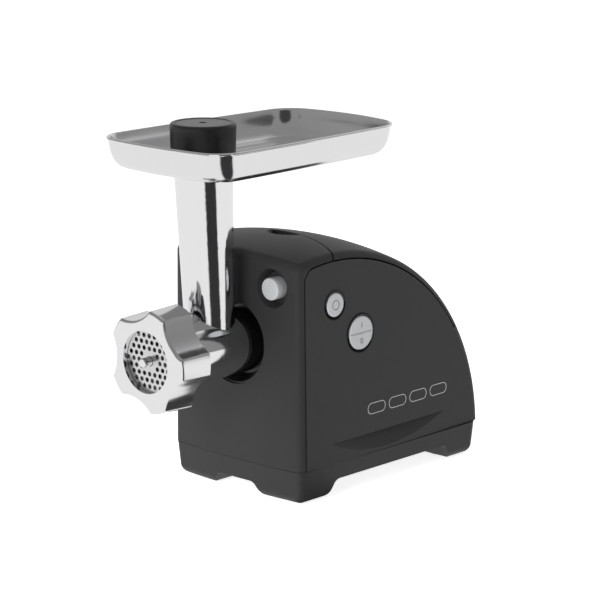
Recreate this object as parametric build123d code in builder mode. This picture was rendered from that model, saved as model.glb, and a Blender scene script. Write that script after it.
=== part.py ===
from build123d import *
import os
from math import acos, cos, degrees, pi, radians, sin, sqrt, tan

os.makedirs("parts", exist_ok=True)

# Placing: the origin lies under the middle of the machine, the grinding head points to -Y
AXIS_Z = 135.0
NUT_REACH = 102.0
STUB_REACH = 105.5
REAR_REACH = 248.0
FACE_Y = (STUB_REACH - REAR_REACH) / 2

# Clearances
SEAM = 1.3
SLIDE_FIT = 0.35
RUN_FIT = 0.06

# Housing: a drum round a crosswise axis, cut by a bowed front
DRUM_Y = 49.0
DRUM_Z = 22.0
CROWN_R = 199.0
EDGE_R = 191.5
SIDE_LOW = 77.5
SIDE_TOP = 74.5
EDGE_FILLET = 8.0
WALL = 3.0
FRONT_WALL = 5.0
BOW_R = 600.0
FRONT_FILLET = 7.5
PART_Z = 32.0
PANEL_Y = 11.0
PANEL_R = 185.5
PANEL_CORNER = 12.0
LID_ARC_R = 137.0
LID_FRONT_Y = 67.0
LID_END_ANGLE = 33.0
GRIP_TOP_Z = 50.0
GRIP_DEPTH = 6.5
GRIP_HALF = 83.0
GRIP_Y = 122.0

# Base
BASE_BOTTOM = 2.0
BASE_FLOOR = 17.0
FLOOR_THICK = 3.0
BASE_TAPER = 6.0
BASE_EDGE = 9.0
FOOT_R = 9.0
FOOT_POCKET = 2.0
FOOT_SPOTS = ((-48.0, 30.0), (48.0, 30.0), (-48.0, 218.0), (48.0, 218.0))
POST_R = 4.5
POST_TALL = 40.0
POST_WEB = 22.0
SCREW_R = 1.5
SCREW_HEAD_R = 3.0
SCREW_HEAD = 2.0
SCREW_GAP = 0.35
SCREW_LONG = 22.0
REAR_POSTS = ((-60.0, 66.0), (60.0, 66.0), (-58.0, 212.0), (58.0, 212.0))
FRONT_POSTS = ((-58.0, 20.0), (58.0, 20.0))

# Head socket in the front face
SOCKET_R = 36.7
SOCKET_GAP = 0.3
SOCKET_FRONT = 2.0
SOCKET_BACK = 30.0
LIP_Y = 14.0
GROOVE_Y = 19.5
GROOVE_END = 26.5
NECK_R = 25.0
LUG_R = 29.0

# Grinding head
BARREL_R = 28.0
BARREL_BORE = 24.0
THREAD_R = 33.0
THREAD_BACK = -76.0
BARREL_FRONT = -97.0
PLATE_R = 30.0
PLATE_THICK = 5.0
NUT_BACK = -71.0
NUT_LOBE_R = 44.0
NUT_OPEN_R = 26.5
NUT_LOBES = 5
TUBE_TOP_Z = 287.0
TUBE_TOP_Y = -32.8
TUBE_LOW_Z = 150.0
TUBE_LOW_Y = -26.8
TUBE_TOP_R = 24.6
TUBE_LOW_R = 21.2
TUBE_WALL = 2.8

# Tray and pusher
TRAY_RIM_Z = 314.0
TRAY_FRONT_HALF = 72.5
TRAY_REAR_HALF = 66.5
TRAY_FRONT = -89.5
TRAY_REAR = 146.5
TRAY_FRONT_BOW = 7.0
TRAY_REAR_BOW = 11.0
TRAY_SIDE_BOW = 2.0
TRAY_SHEET = 1.2
KNOB_TOP_Z = 327.0
KNOB_R = 27.8
STEM_R = 17.9
STEM_END_Z = 190.0

# Gear train
OUT_MODULE = 1.5
OUT_TEETH = 54
MID_PINION_TEETH = 14
IN_MODULE = 1.0
MID_TEETH = 60
MOTOR_PINION_TEETH = 14
MOTOR_Z = 63.0
STAGE_TWO_Y = 40.0
STAGE_TWO_WIDE = 12.0
STAGE_ONE_Y = 56.0
STAGE_ONE_WIDE = 8.0
GEARBOX_FRONT = 30.0
GEARBOX_BACK = 68.0
GEARBOX_WALL = 3.0
COVER_THICK = 4.0
OUT_SHAFT_R = 12.0
MID_SHAFT_R = 4.0
MOTOR_SHAFT_R = 4.0

OUT_CENTRES = OUT_MODULE * (OUT_TEETH + MID_PINION_TEETH) / 2
IN_CENTRES = IN_MODULE * (MID_TEETH + MOTOR_PINION_TEETH) / 2
DROP = AXIS_Z - MOTOR_Z
MID_DOWN = (OUT_CENTRES**2 - IN_CENTRES**2 + DROP**2) / (2 * DROP)
MID_X = -sqrt(OUT_CENTRES**2 - MID_DOWN**2)
MID_Z = AXIS_Z - MID_DOWN
OUT_TO_MID = 180 + degrees(acos(-MID_X / OUT_CENTRES))
MOTOR_TO_MID = 180 - degrees(acos(-MID_X / IN_CENTRES))

# Side controls
REVERSE_Y = 47.0
REVERSE_Z = 170.5
REVERSE_R = 10.2
ROCKER_Y = 79.0
ROCKER_Z = 141.0
ROCKER_R = 14.6
CARRIER_X = 69.0
CARRIER_THICK = 3.0
CARRIER_POSTS = ((55.0, 145.0), (71.0, 168.5))

# Release button
RELEASE_X = 46.0
RELEASE_Z = 187.5
RELEASE_R = 9.5
CUP_END = 35.0


def frontal(y, x=0.0, z=0.0):
    return Plane((x, FACE_Y + y, z), x_dir=(1, 0, 0), z_dir=(0, -1, 0))


def sideways(x, y=0.0, z=0.0):
    return Plane((x, FACE_Y + y, z), x_dir=(0, 1, 0), z_dir=(1, 0, 0))


def level(z):
    return Plane((0, FACE_Y, z))


def along_y(x, z):
    return Axis((x, FACE_Y, z), (0, 1, 0))


def side_x(z):
    return SIDE_LOW + (SIDE_TOP - SIDE_LOW) * (z - DRUM_Z) / EDGE_R


def gear_outline(teeth, module, tooth_angle, backlash=0.12):
    pitch_r = module * teeth / 2
    base_r = pitch_r * cos(radians(20))
    tip_r = pitch_r + 0.95 * module
    root_r = pitch_r - 1.2 * module
    inv = tan(radians(20)) - radians(20)
    half = (pi * module / 2 - backlash) / (2 * pitch_r)
    start_r = max(base_r, root_r + 0.05)
    radii = [start_r + (tip_r - start_r) * k / 3 for k in range(4)]
    flank = []
    for radius in radii:
        bend = acos(base_r / radius)
        flank.append((radius, half + inv - (tan(bend) - bend)))
    points = []
    for tooth in range(teeth):
        middle = radians(tooth_angle) + 2 * pi * tooth / teeth
        polar = [(root_r, -flank[0][1])]
        polar += [(radius, -angle) for radius, angle in flank]
        polar += [(radius, angle) for radius, angle in reversed(flank)]
        polar += [(root_r, flank[0][1])]
        points += [(radius * cos(middle + angle), radius * sin(middle + angle)) for radius, angle in polar]
    return points


# Housing envelopes, outside and inside
with BuildSketch(frontal(DRUM_Y)) as drum_profile:
    with BuildLine():
        Polyline(
            (SIDE_TOP, DRUM_Z + EDGE_R),
            (SIDE_LOW, DRUM_Z),
            (-SIDE_LOW, DRUM_Z),
            (-SIDE_TOP, DRUM_Z + EDGE_R),
        )
        ThreePointArc(
            (-SIDE_TOP, DRUM_Z + EDGE_R), (0, DRUM_Z + CROWN_R), (SIDE_TOP, DRUM_Z + EDGE_R)
        )
    make_face()
    fillet(drum_profile.vertices().group_by(Axis.Y)[-1], radius=EDGE_FILLET)

with BuildSketch(frontal(DRUM_Y)) as hollow_profile:
    with BuildLine():
        Polyline(
            (SIDE_TOP - WALL, DRUM_Z + EDGE_R - WALL),
            (SIDE_LOW - WALL, DRUM_Z),
            (WALL - SIDE_LOW, DRUM_Z),
            (WALL - SIDE_TOP, DRUM_Z + EDGE_R - WALL),
        )
        ThreePointArc(
            (WALL - SIDE_TOP, DRUM_Z + EDGE_R - WALL),
            (0, DRUM_Z + CROWN_R - WALL),
            (SIDE_TOP - WALL, DRUM_Z + EDGE_R - WALL),
        )
    make_face()
    fillet(hollow_profile.vertices().group_by(Axis.Y)[-1], radius=EDGE_FILLET - WALL)

DRUM_AXIS = Axis((0, FACE_Y + DRUM_Y, DRUM_Z), (1, 0, 0))

with BuildPart() as grip_cut:
    GRIP_R = (GRIP_HALF**2 + GRIP_DEPTH**2) / (2 * GRIP_DEPTH)
    for hand in (-1, 1):
        with Locations((hand * (side_x(PART_Z) + GRIP_R - GRIP_DEPTH), FACE_Y + GRIP_Y, PART_Z)):
            Cone(
                GRIP_R - GRIP_DEPTH,
                GRIP_R,
                GRIP_TOP_Z - PART_Z,
                align=(Align.CENTER, Align.CENTER, Align.MIN),
            )

with BuildPart() as grip_keep:
    for hand in (-1, 1):
        with Locations((hand * (side_x(PART_Z) + GRIP_R - GRIP_DEPTH), FACE_Y + GRIP_Y, PART_Z - 1)):
            Cone(
                GRIP_R - GRIP_DEPTH + WALL,
                GRIP_R + WALL,
                GRIP_TOP_Z - PART_Z + WALL + 1,
                align=(Align.CENTER, Align.CENTER, Align.MIN),
            )

with BuildPart() as housing:
    add(drum_profile.sketch)
    revolve(axis=DRUM_AXIS)
    with Locations((0, FACE_Y + BOW_R, PART_Z)):
        Cylinder(BOW_R, 260, align=(Align.CENTER, Align.CENTER, Align.MIN), mode=Mode.INTERSECT)
    bow = housing.faces().filter_by(GeomType.CYLINDER).sort_by(Axis.Y)[0]
    fillet(bow.edges().filter_by(lambda edge: edge.center().Z > PART_Z + 1), radius=FRONT_FILLET)
    add(grip_cut.part, mode=Mode.SUBTRACT)

with BuildPart() as hollow:
    add(hollow_profile.sketch)
    revolve(axis=DRUM_AXIS)
    with Locations((0, FACE_Y + BOW_R, PART_Z - 2)):
        Cylinder(
            BOW_R - FRONT_WALL, 260, align=(Align.CENTER, Align.CENTER, Align.MIN), mode=Mode.INTERSECT
        )
    add(grip_keep.part, mode=Mode.SUBTRACT)

with BuildPart() as skin:
    add(housing.part)
    add(hollow.part, mode=Mode.SUBTRACT)

# Side view zone that belongs to the rear shell
with BuildSketch(sideways(-100)) as rear_zone:
    with Locations((DRUM_Y, DRUM_Z)):
        Circle(PANEL_R)
    with Locations((PANEL_Y, 0)):
        Rectangle(400, 600, align=(Align.MIN, Align.CENTER), mode=Mode.INTERSECT)
    fillet(rear_zone.vertices().sort_by(Axis.Y)[-1], radius=PANEL_CORNER)
    with BuildLine():
        Polyline(
            (DRUM_Y, DRUM_Z),
            (DRUM_Y + 300 * cos(radians(LID_END_ANGLE)), DRUM_Z + 300 * sin(radians(LID_END_ANGLE))),
            (DRUM_Y + 300, -200),
            (DRUM_Y, -160),
            close=True,
        )
    make_face()

with BuildPart() as rear_block:
    with BuildSketch(sideways(-100)):
        add(rear_zone.sketch_local)
    extrude(amount=200)

with BuildPart() as rear_block_wide:
    with BuildSketch(sideways(-100)):
        add(rear_zone.sketch_local)
        offset(amount=SEAM, kind=Kind.INTERSECTION, mode=Mode.REPLACE)
    extrude(amount=200)

with BuildPart() as front_column:
    with Locations((0, FACE_Y + LID_FRONT_Y - LID_ARC_R, 0)):
        Cylinder(LID_ARC_R, 300, align=(Align.CENTER, Align.CENTER, Align.MIN))

with BuildPart() as front_column_wide:
    with Locations((0, FACE_Y + LID_FRONT_Y - LID_ARC_R, 0)):
        Cylinder(LID_ARC_R + SEAM, 300, align=(Align.CENTER, Align.CENTER, Align.MIN))

# Front shell: bowed face, wrapped corners and the front of the roof
DISH_R = 17.5
DISH_FLOOR_R = 13.5
DISH_DEPTH = 9.0
NOTCH_WIDE = 36.0
NOTCH_LONG = 17.0
NOTCH_DEPTH = 5.0
CROWN_Z = DRUM_Z + CROWN_R

with BuildPart() as front_shell:
    add(skin.part)
    add(rear_block_wide.part, mode=Mode.SUBTRACT)
    for x, y in FRONT_POSTS:
        with BuildSketch(level(PART_Z + WALL)):
            with Locations((x, y)):
                Rectangle(WALL, y, align=(Align.CENTER, Align.MAX))
        extrude(amount=POST_WEB)
    with BuildSketch(level(CROWN_Z - NOTCH_DEPTH - WALL)):
        with Locations((0, LID_FRONT_Y)):
            Ellipse(NOTCH_WIDE / 2 + WALL, NOTCH_LONG + WALL)
    extrude(amount=NOTCH_DEPTH + WALL)
    with BuildSketch(frontal(DISH_DEPTH + 9)):
        with Locations((RELEASE_X, RELEASE_Z)):
            Circle(DISH_R + 2)
    extrude(amount=20)
    with BuildSketch(frontal(CUP_END)):
        with Locations((RELEASE_X, RELEASE_Z)):
            Circle(RELEASE_R + 3)
    extrude(amount=CUP_END)
    add(housing.part, mode=Mode.INTERSECT)
    add(front_column.part, mode=Mode.INTERSECT)
    with BuildSketch(level(BASE_FLOOR + FLOOR_THICK)):
        with Locations(*FRONT_POSTS):
            Circle(POST_R)
    extrude(amount=POST_TALL)
    with BuildSketch(level(BASE_FLOOR)):
        with Locations(*FRONT_POSTS):
            Circle(SCREW_R)
    extrude(amount=SCREW_LONG, mode=Mode.SUBTRACT)
    with BuildSketch(frontal(-20)):
        with Locations((0, AXIS_Z)):
            Circle(SOCKET_R + SOCKET_GAP)
    extrude(amount=-60, mode=Mode.SUBTRACT)
    with BuildSketch(frontal(DISH_DEPTH)):
        with Locations((RELEASE_X, RELEASE_Z)):
            Circle(DISH_FLOOR_R)
    with BuildSketch(frontal(0)):
        with Locations((RELEASE_X, RELEASE_Z)):
            Circle(DISH_R)
    loft(mode=Mode.SUBTRACT)
    with BuildSketch(frontal(-20)):
        with Locations((RELEASE_X, RELEASE_Z)):
            Circle(RELEASE_R + SLIDE_FIT)
    extrude(amount=-60, mode=Mode.SUBTRACT)
    with BuildSketch(level(CROWN_Z - NOTCH_DEPTH)):
        with Locations((0, LID_FRONT_Y)):
            Ellipse(NOTCH_WIDE / 2 - NOTCH_DEPTH, NOTCH_LONG - NOTCH_DEPTH)
    with BuildSketch(level(CROWN_Z)):
        with Locations((0, LID_FRONT_Y)):
            Ellipse(NOTCH_WIDE / 2, NOTCH_LONG)
    loft(mode=Mode.SUBTRACT)

front_shell.part.label = "front_shell"
export_step(front_shell.part, "parts/front_shell.step")

# Rear shell: both side panels and the back wall
HINGE_ANGLE = radians(LID_END_ANGLE)
HINGE_R = CROWN_R - 0.4
HINGE_Y = DRUM_Y + HINGE_R * cos(HINGE_ANGLE)
HINGE_Z = DRUM_Z + HINGE_R * sin(HINGE_ANGLE)
KNUCKLE_R = 3.0
KNUCKLE_HALF = 14.0
KNUCKLE_END = 24.0
PIN_R = 1.5
GLAND_X = -34.0
GLAND_Z = 46.0
GLAND_R = 8.0
BIN_FLOOR_Z = 108.0
RIB_Y = 120.0
RIB_X = 57.0
RIB_WIDE = 34.0
RIB_LONG = 40.0
RIB_TALL = 8.0
CARRIER_POST_R = 4.0

with BuildPart() as rear_shell:
    add(skin.part)
    add(rear_block.part, mode=Mode.INTERSECT)
    for hand in (-1, 1):
        with BuildSketch(level(BIN_FLOOR_Z - RIB_TALL)):
            with Locations((hand * RIB_X, RIB_Y)):
                Rectangle(RIB_WIDE, RIB_LONG)
        extrude(amount=RIB_TALL)
    for x, y in REAR_POSTS:
        with BuildSketch(level(PART_Z + WALL)):
            with Locations((x, y)):
                Rectangle(2 * (SIDE_LOW - abs(x)), WALL)
        extrude(amount=POST_WEB)
    with BuildSketch(sideways(CARRIER_X)):
        with Locations(*CARRIER_POSTS):
            Circle(CARRIER_POST_R)
    extrude(amount=20)
    add(housing.part, mode=Mode.INTERSECT)
    with BuildSketch(sideways(CARRIER_X)):
        with Locations(*CARRIER_POSTS):
            Circle(SCREW_R)
    extrude(amount=4.5, mode=Mode.SUBTRACT)
    with BuildSketch(level(BASE_FLOOR + FLOOR_THICK)):
        with Locations(*REAR_POSTS):
            Circle(POST_R)
    extrude(amount=POST_TALL)
    with BuildSketch(level(BASE_FLOOR)):
        with Locations(*REAR_POSTS):
            Circle(SCREW_R)
    extrude(amount=SCREW_LONG, mode=Mode.SUBTRACT)
    with BuildSketch(sideways(KNUCKLE_HALF + 0.4)):
        with Locations((HINGE_Y, HINGE_Z)):
            Circle(KNUCKLE_R)
    extrude(amount=KNUCKLE_END - KNUCKLE_HALF)
    with BuildSketch(sideways(-KNUCKLE_HALF - 0.4)):
        with Locations((HINGE_Y, HINGE_Z)):
            Circle(KNUCKLE_R)
    extrude(amount=KNUCKLE_HALF - KNUCKLE_END)
    with BuildSketch(sideways(-KNUCKLE_HALF - 0.4)):
        with Locations((HINGE_Y, HINGE_Z)):
            Circle(KNUCKLE_R + 0.6)
    extrude(amount=2 * KNUCKLE_HALF + 0.8, mode=Mode.SUBTRACT)
    with BuildSketch(sideways(-40)):
        with Locations((HINGE_Y, HINGE_Z)):
            Circle(PIN_R)
    extrude(amount=80, mode=Mode.SUBTRACT)
    with BuildSketch(frontal(200)):
        with Locations((GLAND_X, GLAND_Z)):
            Circle(GLAND_R)
    extrude(amount=-60, mode=Mode.SUBTRACT)
    with BuildSketch(sideways(60)):
        with Locations((REVERSE_Y, REVERSE_Z)):
            Circle(REVERSE_R + 2.3)
        with Locations((ROCKER_Y, ROCKER_Z)):
            Circle(ROCKER_R + 2.0)
    extrude(amount=30, mode=Mode.SUBTRACT)

rear_shell.part.label = "rear_shell"
export_step(rear_shell.part, "parts/rear_shell.step")

# Lid over the accessory store, hinged at its lower end
with BuildPart() as storage_lid:
    add(skin.part)
    add(rear_block_wide.part, mode=Mode.SUBTRACT)
    add(front_column_wide.part, mode=Mode.SUBTRACT)
    with BuildSketch(sideways(-KNUCKLE_END - 0.5)):
        with Locations((HINGE_Y, HINGE_Z)):
            Circle(KNUCKLE_R + 0.6)
    extrude(amount=2 * KNUCKLE_END + 1, mode=Mode.SUBTRACT)
    with BuildSketch(sideways(-KNUCKLE_HALF)):
        with Locations((HINGE_Y, HINGE_Z)):
            Circle(KNUCKLE_R)
            with Locations(Location((0, 0, 0), (0, 0, LID_END_ANGLE + 90))):
                Rectangle(KNUCKLE_R + 3, 2.4, align=(Align.MIN, Align.MAX))
    extrude(amount=2 * KNUCKLE_HALF)
    with BuildSketch(sideways(-40)):
        with Locations((HINGE_Y, HINGE_Z)):
            Circle(PIN_R + RUN_FIT)
    extrude(amount=80, mode=Mode.SUBTRACT)

storage_lid.part.label = "storage_lid"
export_step(storage_lid.part, "parts/storage_lid.step")

with BuildPart() as lid_hinge_pin:
    with BuildSketch(sideways(-KNUCKLE_END - 0.4)):
        with Locations((HINGE_Y, HINGE_Z)):
            Circle(PIN_R)
    extrude(amount=2 * KNUCKLE_END + 0.8)

lid_hinge_pin.part.label = "lid_hinge_pin"
export_step(lid_hinge_pin.part, "parts/lid_hinge_pin.step")

# Accessory tub under the lid
BIN_FRONT = 78.0
BIN_REAR = 196.0
BIN_HALF_X = 51.0
BIN_LID_GAP = 5.5
BIN_TOP_R = EDGE_R - WALL - BIN_LID_GAP
BIN_WALL = 2.0

with BuildPart() as storage_bin:
    with BuildSketch(sideways(-BIN_HALF_X)):
        with Locations((DRUM_Y, DRUM_Z)):
            Circle(BIN_TOP_R)
        with Locations((BIN_FRONT, BIN_FLOOR_Z)):
            Rectangle(
                BIN_REAR - BIN_FRONT, 200, align=(Align.MIN, Align.MIN), mode=Mode.INTERSECT
            )
    extrude(amount=2 * BIN_HALF_X)
    fillet(storage_bin.edges().group_by(Axis.Z)[0], radius=4)
    with BuildSketch(sideways(BIN_WALL - BIN_HALF_X)):
        with Locations((BIN_FRONT + BIN_WALL, BIN_FLOOR_Z + BIN_WALL)):
            Rectangle(BIN_REAR - BIN_FRONT - 2 * BIN_WALL, 200, align=(Align.MIN, Align.MIN))
    extrude(amount=2 * (BIN_HALF_X - BIN_WALL), mode=Mode.SUBTRACT)

storage_bin.part.label = "storage_bin"
export_step(storage_bin.part, "parts/storage_bin.step")

# Base tray with four corner legs and arches between them
BASE_TOP = PART_Z - 0.5
BASE_SIDE = side_x(PART_Z) - 1.0
BASE_REAR = 245.5
BASE_CORNER_REAR = 236.0
ARCH_X = 21.0
ARCH_Y = 122.0
ARCH_Y_HALF = 72.0
ARCH_SLOPE = 9.0
ARCH_ROUND = 8.0
LEG_ROUND = 6.0
BASE_SKIN = 3.0


def base_outline(inset):
    front_corner = BOW_R - sqrt(BOW_R**2 - BASE_SIDE**2)
    with BuildSketch() as outline:
        with BuildLine():
            ThreePointArc((-BASE_SIDE, front_corner), (0, 0.8), (BASE_SIDE, front_corner))
            Line((BASE_SIDE, front_corner), (BASE_SIDE, BASE_CORNER_REAR))
            ThreePointArc(
                (BASE_SIDE, BASE_CORNER_REAR), (0, BASE_REAR), (-BASE_SIDE, BASE_CORNER_REAR)
            )
            Line((-BASE_SIDE, BASE_CORNER_REAR), (-BASE_SIDE, front_corner))
        make_face()
        fillet(outline.vertices().group_by(Axis.Y)[0], radius=7)
        fillet(outline.vertices().group_by(Axis.Y)[-1], radius=10)
        if inset > 0:
            offset(amount=-inset, mode=Mode.REPLACE)
    return outline.sketch


def arch_outline(half, top):
    foot = half + ARCH_SLOPE
    with BuildSketch() as outline:
        with BuildLine():
            Polyline(
                (-foot - LEG_ROUND - 1, 0),
                (-foot - LEG_ROUND - 1, BASE_BOTTOM),
                (-foot, BASE_BOTTOM),
                (-half, top),
                (half, top),
                (foot, BASE_BOTTOM),
                (foot + LEG_ROUND + 1, BASE_BOTTOM),
                (foot + LEG_ROUND + 1, 0),
                close=True,
            )
        make_face()
        fillet(outline.vertices().group_by(Axis.Y)[-1], radius=ARCH_ROUND)
        knees = outline.vertices().filter_by(lambda corner: abs(abs(corner.X) - foot) < 0.01)
        fillet(knees, radius=LEG_ROUND)
    return outline.sketch


with BuildPart() as base:
    with BuildSketch(level(BASE_TOP)):
        add(base_outline(0))
    extrude(amount=BASE_BOTTOM - BASE_TOP, taper=BASE_TAPER)
    fillet(base.edges().group_by(Axis.Z)[0], radius=BASE_EDGE)
    with BuildSketch(frontal(-10)):
        add(arch_outline(ARCH_X, BASE_FLOOR - 3))
    extrude(amount=-300, mode=Mode.SUBTRACT)
    with BuildSketch(sideways(-100, ARCH_Y)):
        add(arch_outline(ARCH_Y_HALF, BASE_FLOOR))
    extrude(amount=200, mode=Mode.SUBTRACT)
    with BuildSketch(level(BASE_TOP)):
        add(base_outline(BASE_SKIN))
    extrude(amount=BASE_FLOOR + FLOOR_THICK - BASE_TOP, taper=BASE_TAPER, mode=Mode.SUBTRACT)
    with BuildSketch(level(BASE_FLOOR + FLOOR_THICK)):
        with Locations(*FRONT_POSTS, *REAR_POSTS):
            Circle(SCREW_R + SCREW_GAP)
    extrude(amount=-30, mode=Mode.SUBTRACT)
    with BuildSketch(level(BASE_FLOOR)):
        with Locations(*FRONT_POSTS, *REAR_POSTS):
            Circle(SCREW_HEAD_R + SCREW_GAP)
    extrude(amount=-30, mode=Mode.SUBTRACT)
    with BuildSketch(level(BASE_BOTTOM + FOOT_POCKET)):
        with Locations(*FOOT_SPOTS):
            Circle(FOOT_R)
    extrude(amount=-10, mode=Mode.SUBTRACT)

base.part.label = "base"
export_step(base.part, "parts/base.step")

with BuildPart() as rubber_feet:
    with BuildSketch(level(0)):
        with Locations(*FOOT_SPOTS):
            Circle(FOOT_R)
    extrude(amount=BASE_BOTTOM + FOOT_POCKET)
    fillet(rubber_feet.edges().group_by(Axis.Z)[0], radius=1)

rubber_feet.part.label = "rubber_feet"
export_step(rubber_feet.part, "parts/rubber_feet.step")

with BuildPart() as base_screws:
    with BuildSketch(level(BASE_FLOOR - SCREW_HEAD)):
        with Locations(*FRONT_POSTS, *REAR_POSTS):
            Circle(SCREW_HEAD_R)
    extrude(amount=SCREW_HEAD)
    with BuildSketch(level(BASE_FLOOR - SCREW_HEAD)):
        with Locations(*FRONT_POSTS, *REAR_POSTS):
            SlotOverall(2 * SCREW_R + 1, 0.9)
    extrude(amount=SCREW_HEAD / 2, mode=Mode.SUBTRACT)
    with BuildSketch(level(BASE_FLOOR)):
        with Locations(*FRONT_POSTS, *REAR_POSTS):
            Circle(SCREW_R)
    extrude(amount=SCREW_LONG - 1)

base_screws.part.label = "base_screws"
export_step(base_screws.part, "parts/base_screws.step")


# Socket in the front face that takes the head, with a bayonet groove
LUG_HALF_ANGLE = 18.0
LUG_TURN = 45.0

with BuildPart() as head_socket:
    with BuildSketch(sideways(0, 0, AXIS_Z)):
        with BuildLine():
            Polyline(
                (SOCKET_FRONT, SOCKET_R),
                (SOCKET_BACK, SOCKET_R),
                (SOCKET_BACK, NECK_R + 0.5),
                (GROOVE_END, NECK_R + 0.5),
                (GROOVE_END, LUG_R + 0.4),
                (GROOVE_Y, LUG_R + 0.4),
                (GROOVE_Y, NECK_R + 0.5),
                (LIP_Y, NECK_R + 0.5),
                (LIP_Y, BARREL_R + 2.0),
                (SOCKET_FRONT, SOCKET_R - 1.2),
                close=True,
            )
        make_face()
    revolve(axis=along_y(0, AXIS_Z))
    with BuildSketch(frontal(LIP_Y - 0.5, 0, AXIS_Z)):
        for turn in (LUG_TURN, LUG_TURN + 180):
            with BuildLine():
                wide = radians(LUG_HALF_ANGLE + 2)
                middle = radians(turn)
                Polyline(
                    (0, 0),
                    (40 * cos(middle - wide), 40 * sin(middle - wide)),
                    (40 * cos(middle + wide), 40 * sin(middle + wide)),
                    close=True,
                )
            make_face()
        Circle(LUG_R + 0.4, mode=Mode.INTERSECT)
    extrude(amount=LIP_Y - GROOVE_Y - 1.5, mode=Mode.SUBTRACT)

head_socket.part.label = "head_socket"
export_step(head_socket.part, "parts/head_socket.step")

# Grinding head: barrel, neck and feed tube in one casting
SHANK_R = 7.0
BUSH_R = 11.0
BACK_WALL = 6.0
NECK_END = 29.4

with BuildPart() as grinder_head:
    with BuildSketch(sideways(0, 0, AXIS_Z)):
        with BuildLine():
            Polyline(
                (BARREL_FRONT, 0),
                (BARREL_FRONT, THREAD_R),
                (THREAD_BACK, THREAD_R),
                (THREAD_BACK + 5, BARREL_R),
                (LIP_Y - 0.4, BARREL_R),
                (LIP_Y - 0.4, NECK_R),
                (NECK_END, NECK_R),
                (NECK_END, 0),
                close=True,
            )
        make_face()
    revolve(axis=along_y(0, AXIS_Z))
    with BuildSketch(Plane((0, FACE_Y + TUBE_LOW_Y, AXIS_Z))):
        Circle(TUBE_LOW_R)
    with BuildSketch(Plane((0, FACE_Y + TUBE_LOW_Y, TUBE_LOW_Z))):
        Circle(TUBE_LOW_R)
    with BuildSketch(Plane((0, FACE_Y + TUBE_TOP_Y, TUBE_TOP_Z))):
        Circle(TUBE_TOP_R)
    loft(ruled=True)
    with BuildSketch(sideways(0, 0, AXIS_Z)):
        with BuildLine():
            Polyline(
                (BARREL_FRONT - 1, 0),
                (BARREL_FRONT - 1, PLATE_R + 0.4),
                (BARREL_FRONT + PLATE_THICK, PLATE_R + 0.4),
                (BARREL_FRONT + PLATE_THICK, BARREL_BORE),
                (-BACK_WALL, BARREL_BORE),
                (-BACK_WALL, BUSH_R),
                (NECK_END + 1, BUSH_R),
                (NECK_END + 1, 0),
                close=True,
            )
        make_face()
    revolve(axis=along_y(0, AXIS_Z), mode=Mode.SUBTRACT)
    with BuildSketch(Plane((0, FACE_Y + TUBE_LOW_Y, AXIS_Z))):
        Circle(TUBE_LOW_R - TUBE_WALL)
    with BuildSketch(Plane((0, FACE_Y + TUBE_LOW_Y, TUBE_LOW_Z))):
        Circle(TUBE_LOW_R - TUBE_WALL)
    with BuildSketch(Plane((0, FACE_Y + TUBE_TOP_Y, TUBE_TOP_Z))):
        Circle(TUBE_TOP_R - TUBE_WALL)
    loft(ruled=True, mode=Mode.SUBTRACT)
    for turn in (0, 180):
        with BuildSketch(frontal(GROOVE_Y + 0.4, 0, AXIS_Z)):
            with BuildLine():
                wide = radians(LUG_HALF_ANGLE)
                middle = radians(turn)
                Polyline(
                    (0, 0),
                    (60 * cos(middle - wide), 60 * sin(middle - wide)),
                    (60 * cos(middle + wide), 60 * sin(middle + wide)),
                    close=True,
                )
            make_face()
            Circle(LUG_R, mode=Mode.INTERSECT)
            Circle(NECK_R - 2, mode=Mode.SUBTRACT)
        extrude(amount=GROOVE_Y + 0.8 - GROOVE_END)
    with BuildSketch(sideways(-3, 0, AXIS_Z)):
        with Locations((BARREL_FRONT + PLATE_THICK / 2, PLATE_R)):
            Rectangle(PLATE_THICK, 5)
    extrude(amount=6, mode=Mode.SUBTRACT)

grinder_head.part.label = "grinder_head"
export_step(grinder_head.part, "parts/grinder_head.step")

with BuildPart() as auger_bush:
    with BuildSketch(frontal(-BACK_WALL)):
        with Locations((0, AXIS_Z)):
            Circle(BUSH_R)
            Circle(SHANK_R + RUN_FIT, mode=Mode.SUBTRACT)
    extrude(amount=-BACK_WALL - NECK_END)

auger_bush.part.label = "auger_bush"
export_step(auger_bush.part, "parts/auger_bush.step")

# Perforated plate, knife and auger
HOLE_PITCH = 6.2
HOLE_R = 2.0
STUB_R = 4.0
KNIFE_THICK = 5.0
KNIFE_SQUARE = 9.0
SQUARE_GAP = 0.1
KNIFE_HUB_R = 9.0
BLADE_LONG = 20.0
BLADE_WIDE = 6.0
KNIFE_Y = BARREL_FRONT + PLATE_THICK + 0.6

HOLE_SPOTS = [
    (HOLE_PITCH * (a + b / 2), HOLE_PITCH * b * sqrt(3) / 2)
    for a in range(-4, 5)
    for b in range(-4, 5)
    if 1 < max(abs(a), abs(b), abs(a + b)) < 5
]

with BuildPart() as perforated_plate:
    with BuildSketch(frontal(BARREL_FRONT + PLATE_THICK, 0, AXIS_Z)):
        Circle(PLATE_R)
        Circle(STUB_R + SLIDE_FIT, mode=Mode.SUBTRACT)
        with Locations(*HOLE_SPOTS):
            Circle(HOLE_R, mode=Mode.SUBTRACT)
        with Locations((0, PLATE_R)):
            Rectangle(5, 4)
    extrude(amount=PLATE_THICK)

perforated_plate.part.label = "perforated_plate"
export_step(perforated_plate.part, "parts/perforated_plate.step")

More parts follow.
